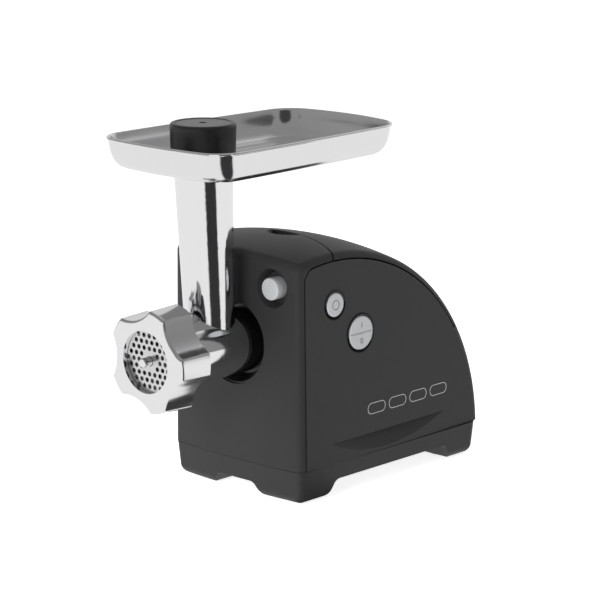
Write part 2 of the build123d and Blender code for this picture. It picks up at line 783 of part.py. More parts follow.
with BuildPart() as knife:
    with BuildSketch(frontal(KNIFE_Y + KNIFE_THICK, 0, AXIS_Z)):
        Circle(KNIFE_HUB_R)
        with PolarLocations(0, 4):
            with Locations((2, 1)):
                Rectangle(BLADE_LONG, BLADE_WIDE, align=(Align.MIN, Align.CENTER))
        Rectangle(KNIFE_SQUARE, KNIFE_SQUARE, mode=Mode.SUBTRACT)
    extrude(amount=KNIFE_THICK)
    chamfer(knife.edges().filter_by(GeomType.LINE).group_by(Axis.Y)[-1].filter_by(
        lambda edge: edge.length > 10
    ), length=1.5)

knife.part.label = "knife"
export_step(knife.part, "parts/knife.step")

FLIGHT_R = BARREL_BORE - 0.9
CORE_R = 11.0
FLIGHT_PITCH = 24.0
FLIGHT_THICK = 5.0
AUGER_FRONT = KNIFE_Y + KNIFE_THICK + 0.2
FLIGHT_END = -BACK_WALL - 3.0
STUB_END = -STUB_REACH
HEX_AF = 10.0
HEX_START = 32.0
HEX_END = 46.0

with BuildPart() as auger_blank:
    with BuildSketch(sideways(0, 0, AXIS_Z)):
        with BuildLine():
            Polyline(
                (STUB_END, 0),
                (STUB_END, STUB_R),
                (KNIFE_Y - 0.4, STUB_R),
                (KNIFE_Y - 0.4, STUB_R + 0.2),
                (AUGER_FRONT, STUB_R + 0.2),
                (AUGER_FRONT, CORE_R),
                (-BACK_WALL - 1, CORE_R),
                (-BACK_WALL - 1, SHANK_R),
                (HEX_START - 1, SHANK_R),
                (HEX_START - 1, 0),
                close=True,
            )
        make_face()
    revolve(axis=along_y(0, AXIS_Z))
    fillet(auger_blank.edges().group_by(Axis.Y)[0], radius=1)
    with BuildSketch(frontal(AUGER_FRONT, 0, AXIS_Z)):
        Rectangle(KNIFE_SQUARE - 2 * SQUARE_GAP, KNIFE_SQUARE - 2 * SQUARE_GAP)
    extrude(amount=KNIFE_THICK + 0.2)
    with BuildSketch(frontal(HEX_END, 0, AXIS_Z)):
        RegularPolygon(HEX_AF / 2, 6, major_radius=False)
    extrude(amount=HEX_END - HEX_START + 2)
    with BuildLine():
        flight_path = Helix(
            FLIGHT_PITCH,
            FLIGHT_END - AUGER_FRONT - FLIGHT_THICK,
            (CORE_R + FLIGHT_R) / 2,
            center=(0, FACE_Y + AUGER_FRONT + FLIGHT_THICK / 2, AXIS_Z),
            direction=(0, 1, 0),
        )
    with BuildSketch(Plane(flight_path @ 0, x_dir=(0, 1, 0), z_dir=flight_path % 0)):
        Rectangle(FLIGHT_THICK, FLIGHT_R - CORE_R + 3)
    sweep(path=flight_path, is_frenet=True)

with BuildPart() as auger:
    add(auger_blank.part)
    with BuildSketch(frontal(60, 0, AXIS_Z)):
        Circle(FLIGHT_R)
    extrude(amount=200, mode=Mode.INTERSECT)

auger.part.label = "auger"
export_step(auger.part, "parts/auger.step")

# Ring nut with scalloped grip
SCALLOP_R = 36.4
SCALLOP_AT = 71.9
NUT_FLARE = 1.5

with BuildPart() as ring_nut:
    with BuildSketch(frontal(NUT_BACK, 0, AXIS_Z)) as nut_outline:
        Circle(NUT_LOBE_R + NUT_FLARE)
        with PolarLocations(SCALLOP_AT + NUT_FLARE, NUT_LOBES, start_angle=36):
            Circle(SCALLOP_R, mode=Mode.SUBTRACT)
        fillet(nut_outline.vertices(), radius=3)
    extrude(amount=NUT_REACH + NUT_BACK, taper=2.5)
    fillet(ring_nut.edges().group_by(Axis.Y)[0], radius=2.5)
    with BuildSketch(frontal(NUT_BACK + 1, 0, AXIS_Z)):
        Circle(THREAD_R + SLIDE_FIT)
    extrude(amount=1 + NUT_BACK - BARREL_FRONT + 0.4, mode=Mode.SUBTRACT)
    with BuildSketch(frontal(NUT_BACK + 1, 0, AXIS_Z)):
        Circle(NUT_OPEN_R)
    extrude(amount=60, mode=Mode.SUBTRACT)

ring_nut.part.label = "ring_nut"
export_step(ring_nut.part, "parts/ring_nut.step")

# Feed tray: pressed sheet with sloping walls and a rolled rim
TRAY_FLOOR_Z = TUBE_TOP_Z
TRAY_CORNER = 20.0
RIM_BEAD = 1.9
SPIGOT_R = TUBE_TOP_R - TUBE_WALL - 0.6


TRAY_STEPS = ((0.0, 14.5), (0.8, 10.0), (2.8, 6.8), (6.0, 4.6), (10.0, 3.4), (TRAY_RIM_Z - TUBE_TOP_Z, 0.0))


def tray_outline(inset):
    wide = TRAY_FRONT_HALF - inset
    slim = TRAY_REAR_HALF - inset
    mid = (wide + slim) / 2 + TRAY_SIDE_BOW
    front = TRAY_FRONT + inset
    rear = TRAY_REAR - inset
    near = front + TRAY_FRONT_BOW
    far = rear - TRAY_REAR_BOW
    with BuildSketch() as outline:
        with BuildLine():
            ThreePointArc((-wide, near), (0, front), (wide, near))
            ThreePointArc((wide, near), (mid, (near + far) / 2), (slim, far))
            ThreePointArc((slim, far), (0, rear), (-slim, far))
            ThreePointArc((-slim, far), (-mid, (near + far) / 2), (-wide, near))
        make_face()
        fillet(outline.vertices(), radius=TRAY_CORNER - 0.5 * inset)
    return outline.sketch


with BuildPart() as tray_hollow:
    for rise, inset in TRAY_STEPS:
        with BuildSketch(level(TRAY_FLOOR_Z + TRAY_SHEET + rise)):
            add(tray_outline(inset + TRAY_SHEET))
    loft(ruled=True)

with BuildPart() as feed_tray:
    for rise, inset in TRAY_STEPS:
        with BuildSketch(level(TRAY_FLOOR_Z + rise)):
            add(tray_outline(inset))
    loft(ruled=True)
    with BuildSketch(level(TRAY_RIM_Z)):
        add(tray_outline(-RIM_BEAD))
    extrude(amount=-2.6)
    add(tray_hollow.part, mode=Mode.SUBTRACT)
    with BuildSketch(level(TRAY_FLOOR_Z + TRAY_SHEET)):
        with Locations((0, TUBE_TOP_Y)):
            Circle(SPIGOT_R)
    extrude(amount=-9)
    with BuildSketch(level(TRAY_FLOOR_Z + TRAY_SHEET)):
        with Locations((0, TUBE_TOP_Y)):
            Circle(SPIGOT_R - TRAY_SHEET)
    extrude(amount=-20, mode=Mode.SUBTRACT)

feed_tray.part.label = "feed_tray"
export_step(feed_tray.part, "parts/feed_tray.step")

# Pusher: stem along the tube, large round knob on the tray floor
KNOB_LOW_R = 26.7
CAP_R = 23.0
CAP_THICK = 3.0
CAP_HOLE_R = 3.3
KNOB_BASE_Z = TRAY_FLOOR_Z + TRAY_SHEET
STEM_DIR = (0, TUBE_TOP_Y - TUBE_LOW_Y, TUBE_TOP_Z - TUBE_LOW_Z)

with BuildPart() as pusher:
    with BuildSketch(sideways(0, TUBE_TOP_Y, 0)):
        with BuildLine():
            Polyline(
                (0, KNOB_BASE_Z),
                (KNOB_LOW_R, KNOB_BASE_Z),
                (KNOB_R, KNOB_TOP_Z),
                (0, KNOB_TOP_Z),
                close=True,
            )
        make_face()
    revolve(axis=Axis((0, FACE_Y + TUBE_TOP_Y, 0), (0, 0, 1)))
    fillet(pusher.edges().group_by(Axis.Z)[-1], radius=2.5)
    fillet(pusher.edges().group_by(Axis.Z)[0], radius=1)
    with BuildSketch(Plane((0, FACE_Y + TUBE_TOP_Y, TUBE_TOP_Z + 5), x_dir=(1, 0, 0), z_dir=STEM_DIR)):
        Circle(STEM_R)
    extrude(amount=STEM_END_Z - TUBE_TOP_Z)
    fillet(pusher.edges().group_by(Axis.Z)[0], radius=1.5)
    with BuildSketch(level(KNOB_TOP_Z - CAP_THICK)):
        with Locations((0, TUBE_TOP_Y)):
            Circle(CAP_R)
    extrude(amount=20, mode=Mode.SUBTRACT)
    with BuildSketch(level(KNOB_TOP_Z)):
        with Locations((0, TUBE_TOP_Y)):
            Circle(CAP_R - 4)
    extrude(amount=KNOB_BASE_Z + 3 - KNOB_TOP_Z, mode=Mode.SUBTRACT)

pusher.part.label = "pusher"
export_step(pusher.part, "parts/pusher.step")

with BuildPart() as pusher_cap:
    with BuildSketch(level(KNOB_TOP_Z - CAP_THICK)):
        with Locations((0, TUBE_TOP_Y)):
            Circle(CAP_R)
            Circle(CAP_HOLE_R, mode=Mode.SUBTRACT)
    extrude(amount=CAP_THICK - 0.4)

pusher_cap.part.label = "pusher_cap"
export_step(pusher_cap.part, "parts/pusher_cap.step")

# Gear train: output gear, double intermediate gear, motor pinion
with BuildPart() as output_gear:
    with BuildSketch(frontal(STAGE_TWO_Y + STAGE_TWO_WIDE, 0, AXIS_Z)):
        with BuildLine():
            Polyline(*gear_outline(OUT_TEETH, OUT_MODULE, OUT_TO_MID), close=True)
        make_face()
        Circle(OUT_SHAFT_R, mode=Mode.SUBTRACT)
        with PolarLocations(25, 6):
            Circle(6, mode=Mode.SUBTRACT)
    extrude(amount=STAGE_TWO_WIDE)

output_gear.part.label = "output_gear"
export_step(output_gear.part, "parts/output_gear.step")

MID_GAP = 180 / MID_PINION_TEETH
MID_GAP_IN = 180 / MID_TEETH

with BuildPart() as intermediate_gear:
    with BuildSketch(frontal(STAGE_TWO_Y + STAGE_TWO_WIDE + 4, MID_X, MID_Z)):
        with BuildLine():
            Polyline(
                *gear_outline(MID_PINION_TEETH, OUT_MODULE, OUT_TO_MID + 180 + MID_GAP), close=True
            )
        make_face()
        Circle(MID_SHAFT_R + RUN_FIT, mode=Mode.SUBTRACT)
    extrude(amount=STAGE_TWO_WIDE + 4)
    with BuildSketch(frontal(STAGE_ONE_Y + STAGE_ONE_WIDE, MID_X, MID_Z)):
        with BuildLine():
            Polyline(*gear_outline(MID_TEETH, IN_MODULE, MOTOR_TO_MID + 180 + MID_GAP_IN), close=True)
        make_face()
        Circle(MID_SHAFT_R + RUN_FIT, mode=Mode.SUBTRACT)
    extrude(amount=STAGE_ONE_WIDE)

intermediate_gear.part.label = "intermediate_gear"
export_step(intermediate_gear.part, "parts/intermediate_gear.step")

with BuildPart() as motor_pinion:
    with BuildSketch(frontal(STAGE_ONE_Y + STAGE_ONE_WIDE + 1, 0, MOTOR_Z)):
        with BuildLine():
            Polyline(*gear_outline(MOTOR_PINION_TEETH, IN_MODULE, MOTOR_TO_MID), close=True)
        make_face()
        Circle(MOTOR_SHAFT_R, mode=Mode.SUBTRACT)
    extrude(amount=STAGE_ONE_WIDE + 2)

motor_pinion.part.label = "motor_pinion"
export_step(motor_pinion.part, "parts/motor_pinion.step")

with BuildPart() as output_shaft:
    with BuildSketch(frontal(GEARBOX_BACK + COVER_THICK - 0.5, 0, AXIS_Z)):
        Circle(OUT_SHAFT_R)
    extrude(amount=GEARBOX_BACK + COVER_THICK - 0.5 - HEX_START + 0.2)
    with BuildSketch(frontal(HEX_END + 0.5, 0, AXIS_Z)):
        RegularPolygon(HEX_AF / 2 + 0.08, 6, major_radius=False)
    extrude(amount=40, mode=Mode.SUBTRACT)

output_shaft.part.label = "output_shaft"
export_step(output_shaft.part, "parts/output_shaft.step")

with BuildPart() as intermediate_shaft:
    with BuildSketch(frontal(GEARBOX_BACK + COVER_THICK, MID_X, MID_Z)):
        Circle(MID_SHAFT_R)
    extrude(amount=GEARBOX_BACK + COVER_THICK - GEARBOX_FRONT)

intermediate_shaft.part.label = "intermediate_shaft"
export_step(intermediate_shaft.part, "parts/intermediate_shaft.step")

# Gearbox: cup round the train and a flat cover behind it
OUT_BUSH_R = 16.0
OUT_ROOM_R = OUT_MODULE * OUT_TEETH / 2 + 4.5
MID_ROOM_R = IN_MODULE * MID_TEETH / 2 + 4.0
PINION_ROOM_R = IN_MODULE * MOTOR_PINION_TEETH / 2 + 7.0
BOX_BOSS_R = 6.0
BOX_FRONT_WALL = 4.0
PEDESTAL_WIDE = 40.0
BEARING_R = 9.5
MOTOR_SCREW_X = 31.0
BOX_SCREWS = ((0.0, AXIS_Z + 49.0), (49.0, AXIS_Z), (-49.0, AXIS_Z + 8.0), (16.0, MOTOR_Z - 13.0))


def gearbox_face(grow):
    with BuildSketch() as outline:
        with BuildLine():
            CenterArc((0, AXIS_Z), OUT_ROOM_R + grow, 0, 360)
            CenterArc((MID_X, MID_Z), MID_ROOM_R + grow, 0, 360)
            CenterArc((0, MOTOR_Z), PINION_ROOM_R + grow, 0, 360)
        make_hull()
    return outline.sketch


with BuildPart() as gearbox_housing:
    with BuildSketch(frontal(GEARBOX_BACK)):
        add(gearbox_face(GEARBOX_WALL))
        with Locations(*BOX_SCREWS):
            Circle(BOX_BOSS_R)
    extrude(amount=GEARBOX_BACK - GEARBOX_FRONT)
    with BuildSketch(frontal(GEARBOX_BACK)):
        add(gearbox_face(0))
    extrude(amount=GEARBOX_BACK - GEARBOX_FRONT - BOX_FRONT_WALL, mode=Mode.SUBTRACT)
    with BuildSketch(frontal(GEARBOX_BACK)):
        with Locations((0, BASE_FLOOR + FLOOR_THICK)):
            Rectangle(
                PEDESTAL_WIDE,
                MOTOR_Z - PINION_ROOM_R - 1 - BASE_FLOOR - FLOOR_THICK,
                align=(Align.CENTER, Align.MIN),
            )
    extrude(amount=GEARBOX_BACK - GEARBOX_FRONT)
    with BuildSketch(frontal(GEARBOX_BACK)):
        with Locations((0, AXIS_Z)):
            Circle(OUT_BUSH_R)
        with Locations((MID_X, MID_Z)):
            Circle(MID_SHAFT_R)
    extrude(amount=60, mode=Mode.SUBTRACT)
    with BuildSketch(frontal(GEARBOX_BACK)):
        with Locations(*BOX_SCREWS):
            Circle(SCREW_R)
    extrude(amount=20, mode=Mode.SUBTRACT)

gearbox_housing.part.label = "gearbox_housing"
export_step(gearbox_housing.part, "parts/gearbox_housing.step")

with BuildPart() as gearbox_cover:
    with BuildSketch(frontal(GEARBOX_BACK + COVER_THICK)):
        add(gearbox_face(GEARBOX_WALL))
        with Locations(*BOX_SCREWS):
            Circle(BOX_BOSS_R)
        with Locations((0, MOTOR_Z)):
            SlotCenterToCenter(2 * MOTOR_SCREW_X, 2 * BOX_BOSS_R)
        with Locations((0, AXIS_Z)):
            Circle(OUT_SHAFT_R + RUN_FIT, mode=Mode.SUBTRACT)
        with Locations((MID_X, MID_Z)):
            Circle(MID_SHAFT_R, mode=Mode.SUBTRACT)
        with Locations((0, MOTOR_Z)):
            Circle(BEARING_R, mode=Mode.SUBTRACT)
        with Locations((-MOTOR_SCREW_X, MOTOR_Z), (MOTOR_SCREW_X, MOTOR_Z), *BOX_SCREWS):
            Circle(SCREW_R, mode=Mode.SUBTRACT)
    extrude(amount=COVER_THICK)

gearbox_cover.part.label = "gearbox_cover"
export_step(gearbox_cover.part, "parts/gearbox_cover.step")

with BuildPart() as gearbox_screws:
    with BuildSketch(frontal(GEARBOX_BACK + COVER_THICK + SCREW_HEAD)):
        with Locations(*BOX_SCREWS):
            Circle(SCREW_HEAD_R)
    extrude(amount=SCREW_HEAD)
    with BuildSketch(frontal(GEARBOX_BACK + COVER_THICK)):
        with Locations(*BOX_SCREWS):
            Circle(SCREW_R)
    extrude(amount=18)

gearbox_screws.part.label = "gearbox_screws"
export_step(gearbox_screws.part, "parts/gearbox_screws.step")

with BuildPart() as output_bush:
    with BuildSketch(frontal(GEARBOX_FRONT + BOX_FRONT_WALL, 0, AXIS_Z)):
        Circle(OUT_BUSH_R)
        Circle(OUT_SHAFT_R + RUN_FIT, mode=Mode.SUBTRACT)
    extrude(amount=BOX_FRONT_WALL)

output_bush.part.label = "output_bush"
export_step(output_bush.part, "parts/output_bush.step")

# Motor on two long screws behind the gearbox
STATOR_Y = 100.0
STATOR_LONG = 40.0
STATOR_BORE = 21.0
ROTOR_R = 20.4
BRACKET_Y = 168.0
BRACKET_THICK = 4.0
BRACKET_WIDE = 30.0
BRACKET_FOOT = 14.0
STATOR_WIDE = 76.0
STATOR_TALL = 62.0
STATOR_CORNER = 12.0
COIL_WIDE = 44.0
COIL_TALL = 9.0
COIL_LONG = 8.0
SHAFT_TAIL = 10.0

with BuildPart() as motor_shaft:
    with BuildSketch(frontal(BRACKET_Y + SHAFT_TAIL, 0, MOTOR_Z)):
        Circle(MOTOR_SHAFT_R)
    extrude(amount=BRACKET_Y + SHAFT_TAIL - STAGE_ONE_Y + 2)

motor_shaft.part.label = "motor_shaft"
export_step(motor_shaft.part, "parts/motor_shaft.step")

with BuildPart() as motor_stator:
    with BuildSketch(frontal(STATOR_Y + STATOR_LONG, 0, MOTOR_Z)):
        RectangleRounded(STATOR_WIDE, STATOR_TALL, STATOR_CORNER)
        Circle(STATOR_BORE, mode=Mode.SUBTRACT)
        with Locations((-MOTOR_SCREW_X, 0), (MOTOR_SCREW_X, 0)):
            Circle(SCREW_R, mode=Mode.SUBTRACT)
    extrude(amount=STATOR_LONG)

motor_stator.part.label = "motor_stator"
export_step(motor_stator.part, "parts/motor_stator.step")

with BuildPart() as motor_coils:
    for back in (STATOR_Y, STATOR_Y + STATOR_LONG + COIL_LONG):
        with BuildSketch(frontal(back, 0, MOTOR_Z)):
            with GridLocations(0, 2 * ROTOR_R + COIL_TALL - 3.8, 1, 2):
                RectangleRounded(COIL_WIDE, COIL_TALL, COIL_TALL / 2 - 0.5)
        extrude(amount=COIL_LONG)
    fillet(motor_coils.edges().filter_by(Axis.X), radius=2)

motor_coils.part.label = "motor_coils"
export_step(motor_coils.part, "parts/motor_coils.step")

with BuildPart() as rotor_core:
    with BuildSketch(frontal(STATOR_Y + STATOR_LONG - 1, 0, MOTOR_Z)):
        Circle(ROTOR_R)
        with PolarLocations(ROTOR_R - 3, 12):
            Rectangle(8, 3, mode=Mode.SUBTRACT)
        Circle(MOTOR_SHAFT_R, mode=Mode.SUBTRACT)
    extrude(amount=STATOR_LONG - 2)

rotor_core.part.label = "rotor_core"
export_step(rotor_core.part, "parts/rotor_core.step")

COMMUTATOR_Y = 151.0
COMMUTATOR_R = 11.0
COMMUTATOR_LONG = 13.0
BRUSH_WIDE = 5.0
BRUSH_LONG = 12.0
HOLDER_X = 19.0
HOLDER_WIDE = 12.0
HOLDER_TALL = 9.0

with BuildPart() as commutator:
    with BuildSketch(frontal(COMMUTATOR_Y + COMMUTATOR_LONG, 0, MOTOR_Z)):
        Circle(COMMUTATOR_R)
        with PolarLocations(COMMUTATOR_R, 24):
            Rectangle(2, 0.6, mode=Mode.SUBTRACT)
        Circle(MOTOR_SHAFT_R, mode=Mode.SUBTRACT)
    extrude(amount=COMMUTATOR_LONG)

commutator.part.label = "commutator"
export_step(commutator.part, "parts/commutator.step")

with BuildPart() as brush_holders:
    for hand in (-1, 1):
        with BuildSketch(frontal(BRACKET_Y, hand * HOLDER_X, MOTOR_Z)):
            Rectangle(HOLDER_WIDE, HOLDER_TALL)
        extrude(amount=BRACKET_Y - COMMUTATOR_Y - 1)
        with BuildSketch(sideways(0, COMMUTATOR_Y + COMMUTATOR_LONG / 2, MOTOR_Z)):
            Rectangle(BRUSH_WIDE, BRUSH_WIDE)
        extrude(amount=hand * (HOLDER_X + HOLDER_WIDE), mode=Mode.SUBTRACT)

brush_holders.part.label = "brush_holders"
export_step(brush_holders.part, "parts/brush_holders.step")

with BuildPart() as carbon_brushes:
    for hand in (-1, 1):
        with BuildSketch(
            sideways(hand * (COMMUTATOR_R + SLIDE_FIT), COMMUTATOR_Y + COMMUTATOR_LONG / 2, MOTOR_Z)
        ):
            Rectangle(BRUSH_WIDE, BRUSH_WIDE)
        extrude(amount=hand * BRUSH_LONG)

carbon_brushes.part.label = "carbon_brushes"
export_step(carbon_brushes.part, "parts/carbon_brushes.step")

FAN_Y = 80.0
FAN_R = 26.0
FAN_DISC = 2.0
FAN_TALL = 11.0
FAN_HUB_R = 8.0
FAN_BLADES = 9
BLADE_THICK = 1.6

with BuildPart() as cooling_fan:
    with BuildSketch(frontal(FAN_Y + FAN_DISC, 0, MOTOR_Z)):
        Circle(FAN_R)
        Circle(MOTOR_SHAFT_R, mode=Mode.SUBTRACT)
    extrude(amount=FAN_DISC)
    with BuildSketch(frontal(FAN_Y + FAN_TALL, 0, MOTOR_Z)):
        Circle(FAN_HUB_R)
        with PolarLocations(FAN_R - 10, FAN_BLADES):
            Rectangle(FAN_R - 6.4, BLADE_THICK, rotation=14)
        Circle(FAN_R, mode=Mode.INTERSECT)
        Circle(MOTOR_SHAFT_R, mode=Mode.SUBTRACT)
    extrude(amount=FAN_TALL - FAN_DISC + 1)

cooling_fan.part.label = "cooling_fan"
export_step(cooling_fan.part, "parts/cooling_fan.step")

with BuildPart() as motor_rear_bracket:
    with BuildSketch(frontal(BRACKET_Y + BRACKET_THICK)):
        with Locations((0, MOTOR_Z)):
            RectangleRounded(STATOR_WIDE, BRACKET_WIDE, 8)
        with Locations((0, BASE_FLOOR + FLOOR_THICK)):
            Rectangle(
                BRACKET_WIDE, MOTOR_Z - BASE_FLOOR - FLOOR_THICK, align=(Align.CENTER, Align.MIN)
            )
        with Locations((0, MOTOR_Z)):
            Circle(BEARING_R, mode=Mode.SUBTRACT)
        with Locations((-MOTOR_SCREW_X, MOTOR_Z), (MOTOR_SCREW_X, MOTOR_Z)):
            Circle(SCREW_R, mode=Mode.SUBTRACT)
    extrude(amount=BRACKET_THICK)
    with BuildSketch(level(BASE_FLOOR + FLOOR_THICK)):
        with Locations((0, BRACKET_Y + BRACKET_THICK)):
            Rectangle(BRACKET_WIDE, BRACKET_FOOT, align=(Align.CENTER, Align.MAX))
    extrude(amount=BRACKET_THICK - 1)

motor_rear_bracket.part.label = "motor_rear_bracket"
export_step(motor_rear_bracket.part, "parts/motor_rear_bracket.step")

with BuildPart() as motor_bearings:
    for back in (GEARBOX_BACK + COVER_THICK, BRACKET_Y + BRACKET_THICK):
        with BuildSketch(frontal(back, 0, MOTOR_Z)):
            Circle(BEARING_R)
            Circle(MOTOR_SHAFT_R + RUN_FIT, mode=Mode.SUBTRACT)
        extrude(amount=COVER_THICK)

motor_bearings.part.label = "motor_bearings"
export_step(motor_bearings.part, "parts/motor_bearings.step")

with BuildPart() as motor_screws:
    for hand in (-1, 1):
        with BuildSketch(
            frontal(BRACKET_Y + BRACKET_THICK + SCREW_HEAD, hand * MOTOR_SCREW_X, MOTOR_Z)
        ):
            Circle(SCREW_HEAD_R)
        extrude(amount=SCREW_HEAD)
        with BuildSketch(frontal(BRACKET_Y + BRACKET_THICK, hand * MOTOR_SCREW_X, MOTOR_Z)):
            Circle(SCREW_R)
        extrude(amount=BRACKET_Y + BRACKET_THICK - GEARBOX_BACK)

motor_screws.part.label = "motor_screws"
export_step(motor_screws.part, "parts/motor_screws.step")

# Side controls: carrier with two bezel rings, rocker and reverse button
CARRIER_Y = 63.0
CARRIER_Z = 155.5
CARRIER_LONG = 76.0
CARRIER_TALL = 66.0
CARRIER_CORNER = 8.0
ROCKER_BEZEL_X = 75.9
REVERSE_BEZEL_X = 75.4
CARRIER_BACK = CARRIER_X - CARRIER_THICK
ROCKER_BEZEL = ROCKER_R + 1.8
REVERSE_BEZEL = REVERSE_R + 2.0
ROCKER_PIVOT_X = 71.6
ROCKER_FACE_X = 77.0
ROCKER_PIN_R = 1.2

with BuildPart() as control_carrier:
    with BuildSketch(sideways(CARRIER_BACK)):
        with Locations((CARRIER_Y, CARRIER_Z)):
            RectangleRounded(CARRIER_LONG, CARRIER_TALL, CARRIER_CORNER)
    extrude(amount=CARRIER_THICK)
    with BuildSketch(sideways(CARRIER_BACK)):
        with Locations((ROCKER_Y, ROCKER_Z)):
            Circle(ROCKER_BEZEL)
    extrude(amount=ROCKER_BEZEL_X - CARRIER_BACK)
    with BuildSketch(sideways(CARRIER_BACK)):
        with Locations((REVERSE_Y, REVERSE_Z)):
            Circle(REVERSE_BEZEL)
    extrude(amount=REVERSE_BEZEL_X - CARRIER_BACK)
    with BuildSketch(sideways(CARRIER_BACK)):
        with Locations((ROCKER_Y, ROCKER_Z)):
            Circle(ROCKER_R + 0.6)
        with Locations((REVERSE_Y, REVERSE_Z)):
            Circle(REVERSE_R + SLIDE_FIT)
        with Locations(*CARRIER_POSTS):
            Circle(SCREW_R)
    extrude(amount=20, mode=Mode.SUBTRACT)
    with BuildSketch(frontal(ROCKER_Y + 20, ROCKER_PIVOT_X, ROCKER_Z)):
        Circle(ROCKER_PIN_R)
    extrude(amount=40, mode=Mode.SUBTRACT)

control_carrier.part.label = "control_carrier"
export_step(control_carrier.part, "parts/control_carrier.step")

with BuildPart() as control_screws:
    with BuildSketch(sideways(CARRIER_BACK - SCREW_HEAD)):
        with Locations(*CARRIER_POSTS):
            Circle(SCREW_HEAD_R)
    extrude(amount=SCREW_HEAD)
    with BuildSketch(sideways(CARRIER_BACK)):
        with Locations(*CARRIER_POSTS):
            Circle(SCREW_R)
    extrude(amount=7)

control_screws.part.label = "control_screws"
export_step(control_screws.part, "parts/control_screws.step")

with BuildPart() as rocker_button:
    with BuildSketch(sideways(ROCKER_PIVOT_X - 3.5)):
        with Locations((ROCKER_Y, ROCKER_Z)):
            Circle(ROCKER_R)
    extrude(amount=ROCKER_FACE_X - ROCKER_PIVOT_X + 3.5)
    fillet(rocker_button.edges().group_by(Axis.X)[-1], radius=1.2)
    with BuildSketch(frontal(ROCKER_Y + 20, ROCKER_FACE_X, ROCKER_Z)):
        with Locations(Location((0, 0, 0), (0, 0, 45))):
            Rectangle(1.2, 1.2)
    extrude(amount=40, mode=Mode.SUBTRACT)
    with BuildSketch(frontal(ROCKER_Y + 20, ROCKER_PIVOT_X, ROCKER_Z)):
        Circle(ROCKER_PIN_R + RUN_FIT)
    extrude(amount=40, mode=Mode.SUBTRACT)

rocker_button.part.label = "rocker_button"
export_step(rocker_button.part, "parts/rocker_button.step")

with BuildPart() as rocker_pin:
    with BuildSketch(frontal(ROCKER_Y + ROCKER_BEZEL - 0.2, ROCKER_PIVOT_X, ROCKER_Z)):
        Circle(ROCKER_PIN_R)
    extrude(amount=2 * ROCKER_BEZEL - 0.4)

rocker_pin.part.label = "rocker_pin"
export_step(rocker_pin.part, "parts/rocker_pin.step")

REVERSE_BACK_X = 67.5
REVERSE_FACE_X = 76.4
REVERSE_POCKET_R = 6.0

with BuildPart() as reverse_button:
    with BuildSketch(sideways(REVERSE_BACK_X)):
        with Locations((REVERSE_Y, REVERSE_Z)):
            Circle(REVERSE_R)
    extrude(amount=REVERSE_FACE_X - REVERSE_BACK_X)
    fillet(reverse_button.edges().group_by(Axis.X)[-1], radius=1.2)
    with BuildSketch(sideways(REVERSE_BACK_X)):
        with Locations((REVERSE_Y, REVERSE_Z)):
            Circle(REVERSE_POCKET_R)
    extrude(amount=6.5, mode=Mode.SUBTRACT)

reverse_button.part.label = "reverse_button"
export_step(reverse_button.part, "parts/reverse_button.step")

SWITCH_X = 57.5
SWITCH_POCKET_X = 61.0
SWITCH_Y = 66.8
SWITCH_LONG = 62.4
SWITCH_TALL = 60.0
BOARD_THICK = 1.6
BOARD_LONG = 56.0
BOARD_TALL = 50.0
SPRING_R = 4.4
SPRING_WIRE_R = 0.6

with BuildPart() as switch_block:
    with BuildSketch(sideways(SWITCH_X)):
        with Locations((SWITCH_Y, CARRIER_Z)):
            Rectangle(SWITCH_LONG, SWITCH_TALL)
    extrude(amount=CARRIER_BACK - SWITCH_X)
    with BuildSketch(sideways(SWITCH_POCKET_X)):
        with Locations((REVERSE_Y, REVERSE_Z)):
            Circle(REVERSE_R + 0.8)
        with Locations((ROCKER_Y, ROCKER_Z)):
            Circle(ROCKER_R + 0.8)
        with Locations(*CARRIER_POSTS):
            Circle(3.4)
    extrude(amount=20, mode=Mode.SUBTRACT)

switch_block.part.label = "switch_block"
export_step(switch_block.part, "parts/switch_block.step")

with BuildPart() as reverse_spring:
    with BuildLine():
        reverse_coil = Helix(
            4 * SPRING_WIRE_R,
            8.4,
            SPRING_R,
            center=(SWITCH_POCKET_X + SPRING_WIRE_R, FACE_Y + REVERSE_Y, REVERSE_Z),
            direction=(1, 0, 0),
        )
    with BuildSketch(Plane(reverse_coil @ 0, z_dir=reverse_coil % 0)):
        Circle(SPRING_WIRE_R)
    sweep(path=reverse_coil, is_frenet=True)

reverse_spring.part.label = "reverse_spring"
export_step(reverse_spring.part, "parts/reverse_spring.step")

with BuildPart() as control_board:
    with BuildSketch(sideways(SWITCH_X - BOARD_THICK)):
        with Locations((SWITCH_Y, CARRIER_Z)):
            Rectangle(BOARD_LONG, BOARD_TALL)
    extrude(amount=BOARD_THICK)
    with BuildSketch(sideways(SWITCH_X - BOARD_THICK)):
        with Locations((48, 165), (60, 172)):
            Rectangle(6, 9)
    extrude(amount=-3)

control_board.part.label = "control_board"
export_step(control_board.part, "parts/control_board.step")

# Release button in the front face, its spring and the plug behind them
RELEASE_FACE = -2.0
RELEASE_BACK = 20.0
RELEASE_POCKET_R = 6.0
RELEASE_POCKET = 13.0
PLUG_Y = 31.0

with BuildPart() as release_button:
    with BuildSketch(frontal(RELEASE_BACK, RELEASE_X, RELEASE_Z)):
        Circle(RELEASE_R)
    extrude(amount=RELEASE_BACK - RELEASE_FACE)
    fillet(release_button.edges().group_by(Axis.Y)[0], radius=1.2)
    with BuildSketch(frontal(RELEASE_BACK, RELEASE_X, RELEASE_Z)):
        Circle(RELEASE_POCKET_R)
    extrude(amount=RELEASE_POCKET, mode=Mode.SUBTRACT)

release_button.part.label = "release_button"
export_step(release_button.part, "parts/release_button.step")

with BuildPart() as release_plug:
    with BuildSketch(frontal(CUP_END, RELEASE_X, RELEASE_Z)):
        Circle(RELEASE_R + SLIDE_FIT)
    extrude(amount=CUP_END - PLUG_Y)

release_plug.part.label = "release_plug"
export_step(release_plug.part, "parts/release_plug.step")

